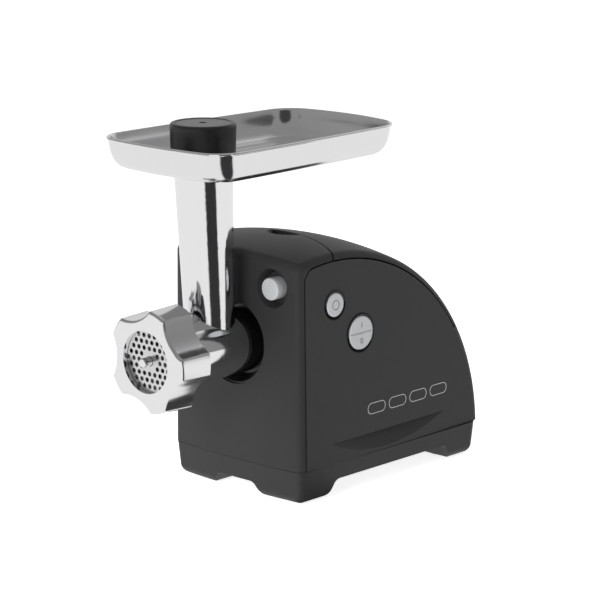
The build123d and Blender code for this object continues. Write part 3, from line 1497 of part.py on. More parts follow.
with BuildPart() as release_spring:
    with BuildLine():
        release_coil = Helix(
            5 * SPRING_WIRE_R,
            16.2,
            SPRING_R,
            center=(RELEASE_X, FACE_Y + PLUG_Y - SPRING_WIRE_R, RELEASE_Z),
            direction=(0, -1, 0),
        )
    with BuildSketch(Plane(release_coil @ 0, z_dir=release_coil % 0)):
        Circle(SPRING_WIRE_R)
    sweep(path=release_coil, is_frenet=True)

release_spring.part.label = "release_spring"
export_step(release_spring.part, "parts/release_spring.step")

# Gland for the mains cord in the back wall
GLAND_END = 247.4
GLAND_FLANGE_Y = 239.0
GLAND_FLANGE = 3.0
GLAND_BORE = 4.2

with BuildPart() as cord_gland:
    with BuildSketch(frontal(GLAND_END, GLAND_X, GLAND_Z)):
        Circle(GLAND_R)
    extrude(amount=GLAND_END - GLAND_FLANGE_Y + GLAND_FLANGE)
    with BuildSketch(frontal(GLAND_FLANGE_Y, GLAND_X, GLAND_Z)):
        Circle(GLAND_R + GLAND_FLANGE)
    extrude(amount=GLAND_FLANGE)
    with BuildSketch(frontal(GLAND_END + 1, GLAND_X, GLAND_Z)):
        Circle(GLAND_BORE)
    extrude(amount=20, mode=Mode.SUBTRACT)

cord_gland.part.label = "cord_gland"
export_step(cord_gland.part, "parts/cord_gland.step")
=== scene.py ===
import math

import bpy
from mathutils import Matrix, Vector


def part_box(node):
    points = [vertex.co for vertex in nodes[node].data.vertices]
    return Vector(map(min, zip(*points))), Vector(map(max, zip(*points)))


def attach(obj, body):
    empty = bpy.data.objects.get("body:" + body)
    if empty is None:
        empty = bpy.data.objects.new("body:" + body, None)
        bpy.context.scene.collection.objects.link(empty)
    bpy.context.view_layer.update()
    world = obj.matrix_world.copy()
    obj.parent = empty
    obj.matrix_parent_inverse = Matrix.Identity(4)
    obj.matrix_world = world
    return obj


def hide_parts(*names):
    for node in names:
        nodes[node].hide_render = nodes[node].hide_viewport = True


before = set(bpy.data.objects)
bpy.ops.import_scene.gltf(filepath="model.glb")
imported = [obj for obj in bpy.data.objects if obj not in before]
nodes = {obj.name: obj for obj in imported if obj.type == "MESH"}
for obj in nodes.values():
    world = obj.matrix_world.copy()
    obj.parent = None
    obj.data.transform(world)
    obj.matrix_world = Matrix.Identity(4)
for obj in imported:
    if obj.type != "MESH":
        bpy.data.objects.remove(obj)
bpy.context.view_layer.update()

# Base and housing: four injection moulded shells in soft black plastic. The front and rear shells stand
# on the base tray, the lid closes the accessory tub, and all carry the same fine spark-eroded grain.
grain = bpy.data.node_groups.new("moulded_grain", "ShaderNodeTree")
for socket, kind in (
    ("Scale", "NodeSocketFloat"),
    ("Depth", "NodeSocketFloat"),
    ("Gloss low", "NodeSocketFloat"),
    ("Gloss high", "NodeSocketFloat"),
    ("Dark", "NodeSocketColor"),
    ("Light", "NodeSocketColor"),
):
    grain.interface.new_socket(socket, in_out="INPUT", socket_type=kind)
grain.interface.new_socket("Color", in_out="OUTPUT", socket_type="NodeSocketColor")
grain.interface.new_socket("Roughness", in_out="OUTPUT", socket_type="NodeSocketFloat")
grain.interface.new_socket("Normal", in_out="OUTPUT", socket_type="NodeSocketVector")
grain_in = grain.nodes.new("NodeGroupInput")
grain_out = grain.nodes.new("NodeGroupOutput")
grain_place = grain.nodes.new("ShaderNodeTexCoord")
grain_pits = grain.nodes.new("ShaderNodeTexNoise")
grain_pits.inputs["Detail"].default_value = 3.0
grain_cloud = grain.nodes.new("ShaderNodeTexNoise")
grain_cloud.inputs["Scale"].default_value = 14.0
grain_cloud.inputs["Detail"].default_value = 4.0
grain_bump = grain.nodes.new("ShaderNodeBump")
grain_bump.inputs["Distance"].default_value = 0.0004
grain_gloss = grain.nodes.new("ShaderNodeMapRange")
grain_shade = grain.nodes.new("ShaderNodeMix")
grain_shade.data_type = "RGBA"
grain.links.new(grain_place.outputs["Object"], grain_pits.inputs["Vector"])
grain.links.new(grain_place.outputs["Object"], grain_cloud.inputs["Vector"])
grain.links.new(grain_in.outputs["Scale"], grain_pits.inputs["Scale"])
grain.links.new(grain_in.outputs["Depth"], grain_bump.inputs["Strength"])
grain.links.new(grain_pits.outputs["Fac"], grain_bump.inputs["Height"])
grain.links.new(grain_cloud.outputs["Fac"], grain_gloss.inputs["Value"])
grain.links.new(grain_in.outputs["Gloss low"], grain_gloss.inputs["To Min"])
grain.links.new(grain_in.outputs["Gloss high"], grain_gloss.inputs["To Max"])
grain.links.new(grain_cloud.outputs["Fac"], grain_shade.inputs["Factor"])
grain.links.new(grain_in.outputs["Dark"], grain_shade.inputs[6])
grain.links.new(grain_in.outputs["Light"], grain_shade.inputs[7])
grain.links.new(grain_shade.outputs[2], grain_out.inputs["Color"])
grain.links.new(grain_gloss.outputs["Result"], grain_out.inputs["Roughness"])
grain.links.new(grain_bump.outputs["Normal"], grain_out.inputs["Normal"])


def plastic(name, dark, light, gloss, scale=1400.0, depth=0.25):
    mat = bpy.data.materials.new(name)
    mat.use_nodes = True
    tree = mat.node_tree
    shader = tree.nodes["Principled BSDF"]
    group = tree.nodes.new("ShaderNodeGroup")
    group.node_tree = grain
    group.inputs["Scale"].default_value = scale
    group.inputs["Depth"].default_value = depth
    group.inputs["Gloss low"].default_value = gloss[0]
    group.inputs["Gloss high"].default_value = gloss[1]
    group.inputs["Dark"].default_value = (*dark, 1)
    group.inputs["Light"].default_value = (*light, 1)
    tree.links.new(group.outputs["Color"], shader.inputs["Base Color"])
    tree.links.new(group.outputs["Roughness"], shader.inputs["Roughness"])
    tree.links.new(group.outputs["Normal"], shader.inputs["Normal"])
    return mat


def dress(mat, *names):
    for name in names:
        nodes[name].data.materials.clear()
        nodes[name].data.materials.append(mat)


housing_black = plastic("housing_black", (0.022, 0.022, 0.023), (0.027, 0.027, 0.028), (0.40, 0.48))
housing_black.node_tree.nodes["Principled BSDF"].inputs["Specular IOR Level"].default_value = 0.22
dress(housing_black, "front_shell", "rear_shell", "storage_lid", "base")

# Accessory tub under the lid, the carrier behind the side buttons and the other hidden mouldings: the
# same plastic straight from the mould, a shade darker and less even.
inner_black = plastic(
    "inner_black", (0.012, 0.012, 0.013), (0.020, 0.020, 0.021), (0.45, 0.58), scale=900, depth=0.35
)
dress(inner_black, "storage_bin", "control_carrier", "switch_block", "release_plug", "gearbox_housing")
dress(inner_black, "gearbox_cover", "cooling_fan")

# Rubber feet and cord gland: black moulded rubber with a dull bloom. The feet are pressed into pockets in
# the base's legs, and the gland is pushed through the back wall.
rubber_black = plastic(
    "rubber_black", (0.008, 0.008, 0.008), (0.013, 0.013, 0.013), (0.65, 0.75), scale=1200, depth=0.4
)
dress(rubber_black, "rubber_feet", "cord_gland")

# Head socket: a black collar, moulded with a high gloss and set in the front face. Its colour is kept far
# darker than the housing's as painted shade for the deep recess around the head. The head is pushed into it
# and twisted until its bayonet holds.
socket_black_and_shade = plastic(
    "socket_black_and_shade", (0.004, 0.004, 0.005), (0.007, 0.007, 0.008), (0.22, 0.30), scale=900, depth=0.1
)
dress(socket_black_and_shade, "head_socket")

# Screws, pins, shafts and springs: bright zinc-plated and ground steel. Fine lines run along the work
# and the gloss is a little cloudy.
polish = bpy.data.node_groups.new("polish_lines", "ShaderNodeTree")
polish.interface.new_socket("Stretch", in_out="INPUT", socket_type="NodeSocketVector")
for socket in ("Depth", "Gloss low", "Gloss high"):
    polish.interface.new_socket(socket, in_out="INPUT", socket_type="NodeSocketFloat")
polish.interface.new_socket("Roughness", in_out="OUTPUT", socket_type="NodeSocketFloat")
polish.interface.new_socket("Normal", in_out="OUTPUT", socket_type="NodeSocketVector")
polish_in = polish.nodes.new("NodeGroupInput")
polish_out = polish.nodes.new("NodeGroupOutput")
polish_place = polish.nodes.new("ShaderNodeTexCoord")
polish_scale = polish.nodes.new("ShaderNodeVectorMath")
polish_scale.operation = "MULTIPLY"
polish_line = polish.nodes.new("ShaderNodeTexNoise")
polish_line.inputs["Scale"].default_value = 1.0
polish_line.inputs["Detail"].default_value = 3.0
polish_cloud = polish.nodes.new("ShaderNodeTexNoise")
polish_cloud.inputs["Scale"].default_value = 22.0
polish_bump = polish.nodes.new("ShaderNodeBump")
polish_bump.inputs["Distance"].default_value = 0.0003
polish_gloss = polish.nodes.new("ShaderNodeMapRange")
polish.links.new(polish_place.outputs["Object"], polish_scale.inputs[0])
polish.links.new(polish_in.outputs["Stretch"], polish_scale.inputs[1])
polish.links.new(polish_scale.outputs[0], polish_line.inputs["Vector"])
polish.links.new(polish_place.outputs["Object"], polish_cloud.inputs["Vector"])
polish.links.new(polish_line.outputs["Fac"], polish_bump.inputs["Height"])
polish.links.new(polish_in.outputs["Depth"], polish_bump.inputs["Strength"])
polish.links.new(polish_cloud.outputs["Fac"], polish_gloss.inputs["Value"])
polish.links.new(polish_in.outputs["Gloss low"], polish_gloss.inputs["To Min"])
polish.links.new(polish_in.outputs["Gloss high"], polish_gloss.inputs["To Max"])
polish.links.new(polish_gloss.outputs["Result"], polish_out.inputs["Roughness"])
polish.links.new(polish_bump.outputs["Normal"], polish_out.inputs["Normal"])


def metal(name, colour, stretch, gloss, depth=0.12):
    mat = bpy.data.materials.new(name)
    mat.use_nodes = True
    tree = mat.node_tree
    shader = tree.nodes["Principled BSDF"]
    shader.inputs["Base Color"].default_value = (*colour, 1)
    shader.inputs["Metallic"].default_value = 1.0
    group = tree.nodes.new("ShaderNodeGroup")
    group.node_tree = polish
    group.inputs["Stretch"].default_value = stretch
    group.inputs["Depth"].default_value = depth
    group.inputs["Gloss low"].default_value = gloss[0]
    group.inputs["Gloss high"].default_value = gloss[1]
    tree.links.new(group.outputs["Roughness"], shader.inputs["Roughness"])
    tree.links.new(group.outputs["Normal"], shader.inputs["Normal"])
    return mat


bright_steel = metal("bright_steel", (0.62, 0.62, 0.64), (400, 400, 400), (0.22, 0.30))
dress(bright_steel, "base_screws", "control_screws", "gearbox_screws", "motor_screws", "lid_hinge_pin")
dress(bright_steel, "rocker_pin", "reverse_spring", "release_spring", "motor_bearings", "motor_pinion")
dress(bright_steel, "output_shaft", "intermediate_shaft", "motor_shaft")

# Motor: laminated core and rear bracket in grey electrical steel, copper windings and commutator, sintered
# bronze bushes, and two carbon brushes in their holders.
core_steel = metal("core_steel", (0.34, 0.35, 0.37), (40, 900, 40), (0.35, 0.45), depth=0.3)
dress(core_steel, "motor_stator", "rotor_core", "motor_rear_bracket")
copper = metal("copper", (0.72, 0.36, 0.20), (900, 900, 60), (0.28, 0.36), depth=0.4)
dress(copper, "motor_coils", "commutator")
bronze = metal("bronze", (0.55, 0.36, 0.16), (200, 200, 200), (0.35, 0.45))
dress(bronze, "output_bush", "brush_holders")
carbon_black = plastic(
    "carbon_black", (0.010, 0.010, 0.011), (0.02, 0.02, 0.02), (0.6, 0.7), scale=2000, depth=0.4
)
dress(carbon_black, "carbon_brushes")

# Gears and auger bush: pale natural nylon with a waxy gloss. The gears are cut and pressed on their shafts,
# and the bush carries the auger's tail in the head.
gear_nylon = plastic(
    "gear_nylon", (0.62, 0.61, 0.56), (0.70, 0.69, 0.64), (0.40, 0.50), scale=600, depth=0.1
)
dress(gear_nylon, "output_gear", "intermediate_gear", "auger_bush")

# Control board: green glass-fibre laminate under a thin lacquer. It stands behind the switch block, whose
# legs are soldered to it.
board_green = plastic(
    "board_green", (0.02, 0.12, 0.05), (0.03, 0.16, 0.07), (0.35, 0.45), scale=300, depth=0.1
)
dress(board_green, "control_board")

# Grinding head, ring nut and auger: cast aluminium, ground and polished to a mirror along the tube. The
# nut's face is brushed a little duller than its lobes.
cast_bright = metal("cast_bright", (0.88, 0.88, 0.89), (500, 500, 12), (0.06, 0.12), depth=0.06)
dress(cast_bright, "grinder_head", "auger")
nut_bright = metal("nut_bright", (0.88, 0.88, 0.89), (600, 30, 600), (0.12, 0.20), depth=0.08)
dress(nut_bright, "ring_nut")

# Perforated plate and knife: hardened steel with a flat ground face. The knife turns on the auger's stud,
# and the ring nut holds the plate against it.
ground_steel = metal("ground_steel", (0.74, 0.74, 0.75), (900, 40, 60), (0.18, 0.28), depth=0.15)
dress(ground_steel, "perforated_plate", "knife")

# Feed tray: one pressed stainless sheet with a rolled rim, sloping walls and a generous radius into the
# floor. Two parallel beads stiffen the floor, and a short spigot drops into the feed tube.
tray_steel = metal("tray_steel", (0.84, 0.84, 0.85), (14, 500, 500), (0.08, 0.16), depth=0.06)
dress(tray_steel, "feed_tray")
tray_satin = metal("tray_satin", (0.86, 0.86, 0.87), (14, 500, 500), (0.10, 0.18), depth=0.08)
tray_satin.node_tree.nodes["Principled BSDF"].inputs["Metallic"].default_value = 0.95
tray_low, tray_high = (Vector(corner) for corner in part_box("feed_tray"))
tray_middle = (tray_low + tray_high) / 2
tray_half = (tray_high - tray_low) / 2
tray_mouth = Vector((0, (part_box("pusher")[0][1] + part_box("pusher")[1][1]) / 2, 0))
tray_mouth_r = 0.0198
tray_sheet = 0.0009
tray_corner = 0.021
tray_corner_cuts = 12
tray_side_cuts = 21
tray_side_least = 0.03
tray_draw_in = 0.0022
tray_taper = 0.003
tray_side_bow = 0.002
tray_front_bow = 0.007
tray_rear_bow = 0.011
spigot_drop = 0.008
# The sheet's section from the rolled rim to the mouth: how far in, and how high against the rim.
tray_steps = (
    (0.0006, -0.0024), (0.0000, -0.0018), (0.0000, -0.0009), (0.0005, -0.0002), (0.0011, 0.0000),
    (0.0017, -0.0006), (0.0020, -0.0020), (0.0026, -0.0080), (0.0034, -0.0130), (0.0046, -0.0170),
    (0.0062, -0.0205), (0.0084, -0.0232), (0.0112, -0.0248), (0.0144, -0.0256), (0.0166, -0.0258),
    (0.0200, -0.0258), (0.0208, -0.0247), (0.0218, -0.0247), (0.0226, -0.0258), (0.0244, -0.0258),
    (0.0252, -0.0247), (0.0262, -0.0247), (0.0270, -0.0258), (0.0299, -0.0258),
)
bpy.ops.object.select_all(action="DESELECT")
bpy.ops.mesh.primitive_plane_add(size=2, location=(0, tray_middle.y, tray_high.z))
tray = bpy.context.object
tray.name = "pressed_feed_tray"
tray.scale = (tray_half.x, tray_half.y, 1)
bpy.ops.object.transform_apply(location=True, rotation=True, scale=True)
bpy.ops.object.mode_set(mode="EDIT")
bpy.ops.mesh.select_all(action="SELECT")
bpy.ops.mesh.bevel(
    offset=tray_corner, segments=tray_corner_cuts, affect="VERTICES", offset_type="OFFSET"
)
bpy.ops.object.mode_set(mode="OBJECT")
for edge in tray.data.edges:
    ends = [tray.data.vertices[i].co for i in edge.vertices]
    edge.select = (ends[0] - ends[1]).length > tray_side_least
for face in tray.data.polygons:
    face.select = False
for vertex in tray.data.vertices:
    vertex.select = False
bpy.ops.object.mode_set(mode="EDIT")
bpy.ops.mesh.select_mode(type="EDGE")
bpy.ops.mesh.subdivide(number_cuts=tray_side_cuts)
bpy.ops.object.mode_set(mode="OBJECT")
for vertex in tray.data.vertices:
    across = vertex.co.x / tray_half.x
    along = (vertex.co.y - tray_middle.y) / tray_half.y
    end_bow = tray_front_bow if along < 0 else tray_rear_bow
    vertex.co.x = across * (
        tray_half.x - tray_draw_in - tray_taper * along - tray_side_bow * along**2
    )
    vertex.co.y -= across**2 * end_bow * along
bpy.ops.object.mode_set(mode="EDIT")
bpy.ops.mesh.select_mode(type="EDGE")
bpy.ops.mesh.select_all(action="SELECT")
bpy.ops.mesh.delete(type="ONLY_FACE")
bpy.ops.mesh.select_all(action="SELECT")
inset_before = 0.0
height_before = 0.0
for step, (inset, height) in enumerate(tray_steps):
    if step > 0:
        bpy.ops.mesh.extrude_region_move()
    shrink_x = (tray_half.x - inset) / (tray_half.x - inset_before)
    shrink_y = (tray_half.y - inset) / (tray_half.y - inset_before)
    bpy.ops.transform.resize(value=(shrink_x, shrink_y, 1), center_override=tray_middle)
    bpy.ops.transform.translate(value=(0, 0, height - height_before))
    inset_before, height_before = inset, height
bpy.ops.mesh.extrude_region_move()
bpy.ops.object.mode_set(mode="OBJECT")
for vertex in tray.data.vertices:
    if vertex.select:
        out = vertex.co - tray_mouth
        out.z = 0
        vertex.co = tray_mouth + out.normalized() * tray_mouth_r + Vector((0, 0, vertex.co.z))
bpy.ops.object.mode_set(mode="EDIT")
bpy.ops.mesh.extrude_region_move(TRANSFORM_OT_translate={"value": (0, 0, -spigot_drop)})
bpy.ops.mesh.select_all(action="SELECT")
bpy.ops.mesh.normals_make_consistent(inside=False)
bpy.ops.object.mode_set(mode="OBJECT")
tray.data.materials.append(tray_satin)
tray.data.materials.append(tray_steel)
thickness = tray.modifiers.new("sheet", "SOLIDIFY")
thickness.thickness = tray_sheet
thickness.offset = -1
thickness.material_offset = 1
bpy.ops.object.modifier_apply(modifier="sheet")
bpy.ops.object.shade_smooth_by_angle(angle=math.radians(40))
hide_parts("feed_tray")
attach(tray, "tray")

# Pusher: a black nylon stem with a large round knob, moulded in one, that slides in the feed tube. A grey
# disc is pressed into the top of the knob.
pusher_black = plastic(
    "pusher_black", (0.007, 0.007, 0.008), (0.012, 0.012, 0.013), (0.30, 0.40), scale=900, depth=0.2
)
dress(pusher_black, "pusher")
cap_black = plastic(
    "cap_black", (0.040, 0.040, 0.042), (0.052, 0.052, 0.054), (0.30, 0.38), scale=900, depth=0.2
)
dress(cap_black, "pusher_cap")

# Buttons: moulded plastic under a silver lacquer with fine flake. The rocker and the reverse button sit in
# the side panel, and the release button in the front face.
silver_lacquer = plastic(
    "silver_lacquer", (0.36, 0.37, 0.38), (0.44, 0.45, 0.46), (0.30, 0.38), scale=2600, depth=0.15
)
dress(silver_lacquer, "rocker_button", "reverse_button", "release_button")

# Side panel print: a row of four plain pill outlines in pale grey ink. The ink follows the panel, which falls
# away a little from its middle, and stands a hair proud of it.
ink = plastic("panel_ink", (0.36, 0.36, 0.37), (0.44, 0.44, 0.45), (0.45, 0.55), scale=1500, depth=0.1)
face_y = -0.07125
pill_first = 0.0995
pill_pitch = 0.0277
pill_height = 0.0713
pill_r = 0.0050
pill_shift = 0.0066
pill_count = 4
ink_width = 0.0006
ink_rise = 0.0002
ink_sink = 0.00005
panel_x = 0.0775
panel_middle_y = face_y + 0.049
panel_middle_z = 0.022
panel_fall = 0.003
panel_reach = 0.1915


def ring_mark(name, middle, radius, shift, width, rise, body, mat):
    bpy.ops.object.select_all(action="DESELECT")
    bpy.ops.mesh.primitive_circle_add(
        vertices=48, radius=radius, fill_type="NGON", rotation=(0, math.pi / 2, 0)
    )
    mark = bpy.context.object
    mark.name = name
    bpy.ops.object.transform_apply(location=True, rotation=True, scale=True)
    for vertex in mark.data.vertices:
        vertex.co.y += shift[0] if vertex.co.y > 0 else -shift[0]
        vertex.co.z += shift[1] if vertex.co.z > 0 else -shift[1]
        vertex.co += middle
    bpy.ops.object.mode_set(mode="EDIT")
    bpy.ops.mesh.select_all(action="SELECT")
    bpy.ops.mesh.inset(thickness=width)
    bpy.ops.mesh.delete(type="FACE")
    bpy.ops.mesh.select_all(action="SELECT")
    bpy.ops.mesh.extrude_region_move(TRANSFORM_OT_translate={"value": (rise, 0, 0)})
    bpy.ops.mesh.select_all(action="SELECT")
    bpy.ops.mesh.normals_make_consistent(inside=False)
    bpy.ops.object.mode_set(mode="OBJECT")
    mark.data.materials.append(mat)
    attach(mark, body)
    return mark


def lay_on_panel(mark):
    for vertex in mark.data.vertices:
        reach = math.hypot(vertex.co.y - panel_middle_y, vertex.co.z - panel_middle_z)
        vertex.co.x += panel_x - panel_fall * reach / panel_reach - ink_sink


for number in range(pill_count):
    pill_middle = Vector((0, face_y + pill_first + number * pill_pitch, pill_height))
    pill_name = "panel_pill_%d" % (number + 1)
    pill = ring_mark(
        pill_name, pill_middle, pill_r, (pill_shift, 0), ink_width, ink_rise, "housing", ink
    )
    lay_on_panel(pill)

# Button gap shade: narrow black rings set in the panel around the rocker and the reverse button. They are
# painted shade for the dark gap around each button, so they are dull and drink up the light.
gap_shade_black = plastic(
    "gap_shade_black", (0.002, 0.002, 0.002), (0.004, 0.004, 0.004), (0.75, 0.85), scale=1200, depth=0.3
)
gap_shade_black.node_tree.nodes["Principled BSDF"].inputs["Specular IOR Level"].default_value = 0.1
rocker_low, rocker_high = (Vector(corner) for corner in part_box("rocker_button"))
rocker_middle = (rocker_low + rocker_high) / 2
reverse_low, reverse_high = (Vector(corner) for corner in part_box("reverse_button"))
reverse_middle = (reverse_low + reverse_high) / 2
shade_ring_width = 0.0022
shade_ring_rise = 0.0003
shade_ring_gap = 0.0005
# Each ring is painted shade: a dull black band that stands in for the shadowed gap around its button.
for shade_ring_name, button_middle, button_r in (
    ("rocker_shade_ring", rocker_middle, rocker_high.y - rocker_middle.y),
    ("reverse_shade_ring", reverse_middle, reverse_high.y - reverse_middle.y),
):
    shade_ring_middle = Vector((0, button_middle.y, button_middle.z))
    shade_ring_r = button_r + shade_ring_gap + shade_ring_width
    shade_ring = ring_mark(
        shade_ring_name, shade_ring_middle, shade_ring_r, (0, 0), shade_ring_width, shade_ring_rise, "housing", gap_shade_black
    )
    lay_on_panel(shade_ring)

# Button print: a bar and a ring on the two halves of the rocker, and a ring on the reverse button. They are
# printed in dark grey ink and move with their button.
mark_grey = plastic(
    "mark_grey", (0.10, 0.10, 0.105), (0.14, 0.14, 0.145), (0.40, 0.50), scale=1500, depth=0.1
)
rocker_face = Vector((rocker_high.x - ink_sink, rocker_middle.y, rocker_middle.z))
reverse_face = Vector((reverse_high.x - ink_sink, reverse_middle.y, reverse_middle.z))
rocker_mark_rise = Vector((0, 0, 0.0070))
bar_width = 0.00035
reverse_ring_width = 0.0007
for mark_name, mark_middle, mark_r, mark_stretch, mark_width, mark_body in (
    ("rocker_ring_mark", rocker_face - rocker_mark_rise, 0.0015, 0.0009, ink_width, "rocker"),
    ("rocker_bar_mark", rocker_face + rocker_mark_rise, 0.0004, 0.0018, bar_width, "rocker"),
    ("reverse_ring_mark", reverse_face, 0.0044, 0, reverse_ring_width, "reverse"),
):
    ring_mark(
        mark_name, mark_middle, mark_r, (0, mark_stretch), mark_width, ink_rise, mark_body, mark_grey
    )

# Floor: a plain white sweep that keeps a soft contact shadow. It glows a little, so that it renders white,
# and metal sees it light with one dark gap.
bpy.ops.object.select_all(action="DESELECT")
bpy.ops.mesh.primitive_plane_add(size=12)
floor = bpy.context.object
floor.name = "floor"
gap_turn = math.radians(66)
gap_toward = (math.sin(gap_turn), -math.cos(gap_turn), 0)
gap_outer = 0.915
gap_inner = 0.945
floor_white = bpy.data.materials.new("floor_white")
floor_white.use_nodes = True
floor_tree = floor_white.node_tree
floor_tree.nodes.remove(floor_tree.nodes["Principled BSDF"])
floor_matt = floor_tree.nodes.new("ShaderNodeBsdfDiffuse")
floor_matt.inputs["Color"].default_value = (0.9, 0.9, 0.9, 1)
floor_glow = floor_tree.nodes.new("ShaderNodeEmission")
floor_glow.inputs["Strength"].default_value = 0.84
floor_sum = floor_tree.nodes.new("ShaderNodeAddShader")
floor_gloss = floor_tree.nodes.new("ShaderNodeEmission")
floor_place = floor_tree.nodes.new("ShaderNodeTexCoord")
floor_turn = floor_tree.nodes.new("ShaderNodeVectorMath")
floor_turn.operation = "NORMALIZE"
floor_gap_side = floor_tree.nodes.new("ShaderNodeVectorMath")
floor_gap_side.operation = "DOT_PRODUCT"
floor_gap_side.inputs[1].default_value = gap_toward
floor_gap = floor_tree.nodes.new("ShaderNodeMapRange")
floor_gap.interpolation_type = "SMOOTHSTEP"
floor_gap.inputs["From Min"].default_value = gap_outer
floor_gap.inputs["From Max"].default_value = gap_inner
floor_gap.inputs["To Min"].default_value = 0.88
floor_gap.inputs["To Max"].default_value = 0.03
floor_tree.links.new(floor_place.outputs["Object"], floor_turn.inputs[0])
floor_tree.links.new(floor_turn.outputs["Vector"], floor_gap_side.inputs[0])
floor_tree.links.new(floor_gap_side.outputs["Value"], floor_gap.inputs["Value"])
floor_tree.links.new(floor_gap.outputs["Result"], floor_gloss.inputs["Strength"])
floor_path = floor_tree.nodes.new("ShaderNodeLightPath")
floor_mix = floor_tree.nodes.new("ShaderNodeMixShader")
floor_tree.links.new(floor_matt.outputs["BSDF"], floor_sum.inputs[0])
floor_tree.links.new(floor_glow.outputs["Emission"], floor_sum.inputs[1])
floor_tree.links.new(floor_path.outputs["Is Glossy Ray"], floor_mix.inputs["Fac"])
floor_tree.links.new(floor_sum.outputs["Shader"], floor_mix.inputs[1])
floor_tree.links.new(floor_gloss.outputs["Emission"], floor_mix.inputs[2])
floor_tree.links.new(floor_mix.outputs["Shader"], floor_tree.nodes["Material Output"].inputs["Surface"])
floor.data.materials.append(floor_white)

# Studio: white all round for the camera. Metal sees walls that are lighter behind the object, and one dark
# gap that draws its dark bands. Four softboxes, which metal doesn't see, light the housing.
world = bpy.data.worlds.new("studio")
bpy.context.scene.world = world
world.use_nodes = True
world_tree = world.node_tree
soft_fill = world_tree.nodes["Background"]
soft_fill.inputs["Color"].default_value = (1, 1, 1, 1)
soft_fill.inputs["Strength"].default_value = 0.18
walls = world_tree.nodes.new("ShaderNodeBackground")
backdrop = world_tree.nodes.new("ShaderNodeBackground")
backdrop.inputs["Color"].default_value = (1, 1, 1, 1)
direction = world_tree.nodes.new("ShaderNodeTexCoord")
direction_parts = world_tree.nodes.new("ShaderNodeSeparateXYZ")
ceiling = world_tree.nodes.new("ShaderNodeMapRange")
ceiling.interpolation_type = "SMOOTHSTEP"
ceiling.inputs["From Min"].default_value = 0.30
ceiling.inputs["From Max"].default_value = 0.60
ceiling.inputs["To Min"].default_value = 0.85
ceiling.inputs["To Max"].default_value = 0.80
toward_gap = world_tree.nodes.new("ShaderNodeVectorMath")
toward_gap.operation = "DOT_PRODUCT"
toward_gap.inputs[1].default_value = gap_toward
gap = world_tree.nodes.new("ShaderNodeMapRange")
gap.interpolation_type = "SMOOTHSTEP"
gap.inputs["From Min"].default_value = gap_outer
gap.inputs["From Max"].default_value = gap_inner
gap.inputs["To Min"].default_value = 1.0
gap.inputs["To Max"].default_value = 0.05
toward_light = world_tree.nodes.new("ShaderNodeVectorMath")
toward_light.operation = "DOT_PRODUCT"
toward_light.inputs[1].default_value = (-0.42, 0.91, 0)
light_wall = world_tree.nodes.new("ShaderNodeMapRange")
light_wall.interpolation_type = "SMOOTHSTEP"
light_wall.inputs["From Min"].default_value = 0.30
light_wall.inputs["From Max"].default_value = 0.80
light_wall.inputs["To Min"].default_value = 0.36
light_wall.inputs["To Max"].default_value = 1.0
ceiling_and_gap = world_tree.nodes.new("ShaderNodeMath")
ceiling_and_gap.operation = "MULTIPLY"
wall_strength = world_tree.nodes.new("ShaderNodeMath")
wall_strength.operation = "MULTIPLY"
ray_kind = world_tree.nodes.new("ShaderNodeLightPath")
glossy_or_clear = world_tree.nodes.new("ShaderNodeMath")
glossy_or_clear.operation = "MAXIMUM"
seen_in_gloss = world_tree.nodes.new("ShaderNodeMixShader")
seen_by_camera = world_tree.nodes.new("ShaderNodeMixShader")
world_tree.links.new(direction.outputs["Generated"], direction_parts.inputs["Vector"])
world_tree.links.new(direction.outputs["Generated"], toward_gap.inputs[0])
world_tree.links.new(direction_parts.outputs["Z"], ceiling.inputs["Value"])
world_tree.links.new(toward_gap.outputs["Value"], gap.inputs["Value"])
world_tree.links.new(ceiling.outputs["Result"], ceiling_and_gap.inputs[0])
world_tree.links.new(gap.outputs["Result"], ceiling_and_gap.inputs[1])
world_tree.links.new(direction.outputs["Generated"], toward_light.inputs[0])
world_tree.links.new(toward_light.outputs["Value"], light_wall.inputs["Value"])
world_tree.links.new(ceiling_and_gap.outputs["Value"], wall_strength.inputs[0])
world_tree.links.new(light_wall.outputs["Result"], wall_strength.inputs[1])
world_tree.links.new(wall_strength.outputs["Value"], walls.inputs["Strength"])
world_tree.links.new(ray_kind.outputs["Is Glossy Ray"], glossy_or_clear.inputs[0])
world_tree.links.new(ray_kind.outputs["Is Transmission Ray"], glossy_or_clear.inputs[1])
world_tree.links.new(glossy_or_clear.outputs["Value"], seen_in_gloss.inputs["Fac"])
world_tree.links.new(soft_fill.outputs["Background"], seen_in_gloss.inputs[1])
world_tree.links.new(walls.outputs["Background"], seen_in_gloss.inputs[2])
world_tree.links.new(ray_kind.outputs["Is Camera Ray"], seen_by_camera.inputs["Fac"])
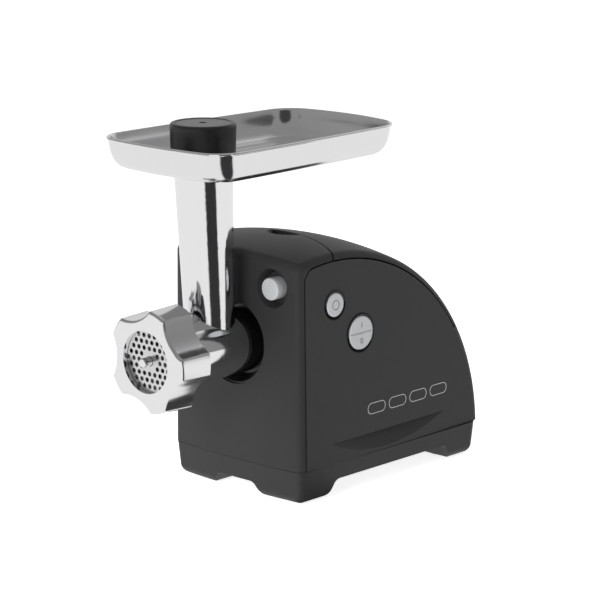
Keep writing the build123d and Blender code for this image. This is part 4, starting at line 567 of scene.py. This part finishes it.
world_tree.links.new(seen_in_gloss.outputs["Shader"], seen_by_camera.inputs[1])
world_tree.links.new(backdrop.outputs["Background"], seen_by_camera.inputs[2])
world_tree.links.new(seen_by_camera.outputs["Shader"], world_tree.nodes["World Output"].inputs["Surface"])


def softbox(name, place, aim, size, power):
    light = bpy.data.lights.new(name, "AREA")
    light.shape = "RECTANGLE"
    light.size = size[0]
    light.size_y = size[1]
    light.energy = power
    lamp = bpy.data.objects.new(name, light)
    bpy.context.collection.objects.link(lamp)
    lamp.location = place
    lamp.rotation_euler = (Vector(aim) - Vector(place)).to_track_quat("-Z", "Y").to_euler()
    lamp.visible_glossy = False


softbox("top_box", (0.2, 0.1, 1.6), (0, 0, 0.2), (1.4, 1.2), 8)
softbox("left_box", (-1.2, -1.1, 0.9), (0, 0, 0.15), (0.9, 1.3), 22)
softbox("front_box", (0.5, -1.9, 0.7), (0, 0, 0.15), (0.8, 0.8), 26)
softbox("right_box", (1.6, 0.2, 0.8), (0, 0.05, 0.12), (0.6, 1.2), 2)

# Camera at the photograph's angle: front right, a little above the roof. Its distance comes from the focal
# length and from the scale at the front face, in pixels of the picture.
view_turn = math.radians(43.3)
view_rise = math.radians(12.9)
focal_px = 2600
px_per_metre = 1175
picture_px = 600
sensor_mm = 36
aim_height = 0.135
aim_right = 0.0576
aim_up = 0.0349
toward = Vector((
    math.sin(view_turn) * math.cos(view_rise),
    -math.cos(view_turn) * math.cos(view_rise),
    math.sin(view_rise),
))
right = Vector((math.cos(view_turn), math.sin(view_turn), 0))
up = toward.cross(right)
target = Vector((0, face_y, aim_height)) + right * aim_right + up * aim_up
camera_data = bpy.data.cameras.new("camera")
camera_data.sensor_width = sensor_mm
camera_data.lens = sensor_mm * focal_px / picture_px
camera = bpy.data.objects.new("camera", camera_data)
bpy.context.collection.objects.link(camera)
camera.location = target + toward * (focal_px / px_per_metre)
camera.rotation_euler = (-toward).to_track_quat("-Z", "Y").to_euler()
bpy.context.scene.camera = camera
bpy.context.scene.view_settings.view_transform = "Standard"
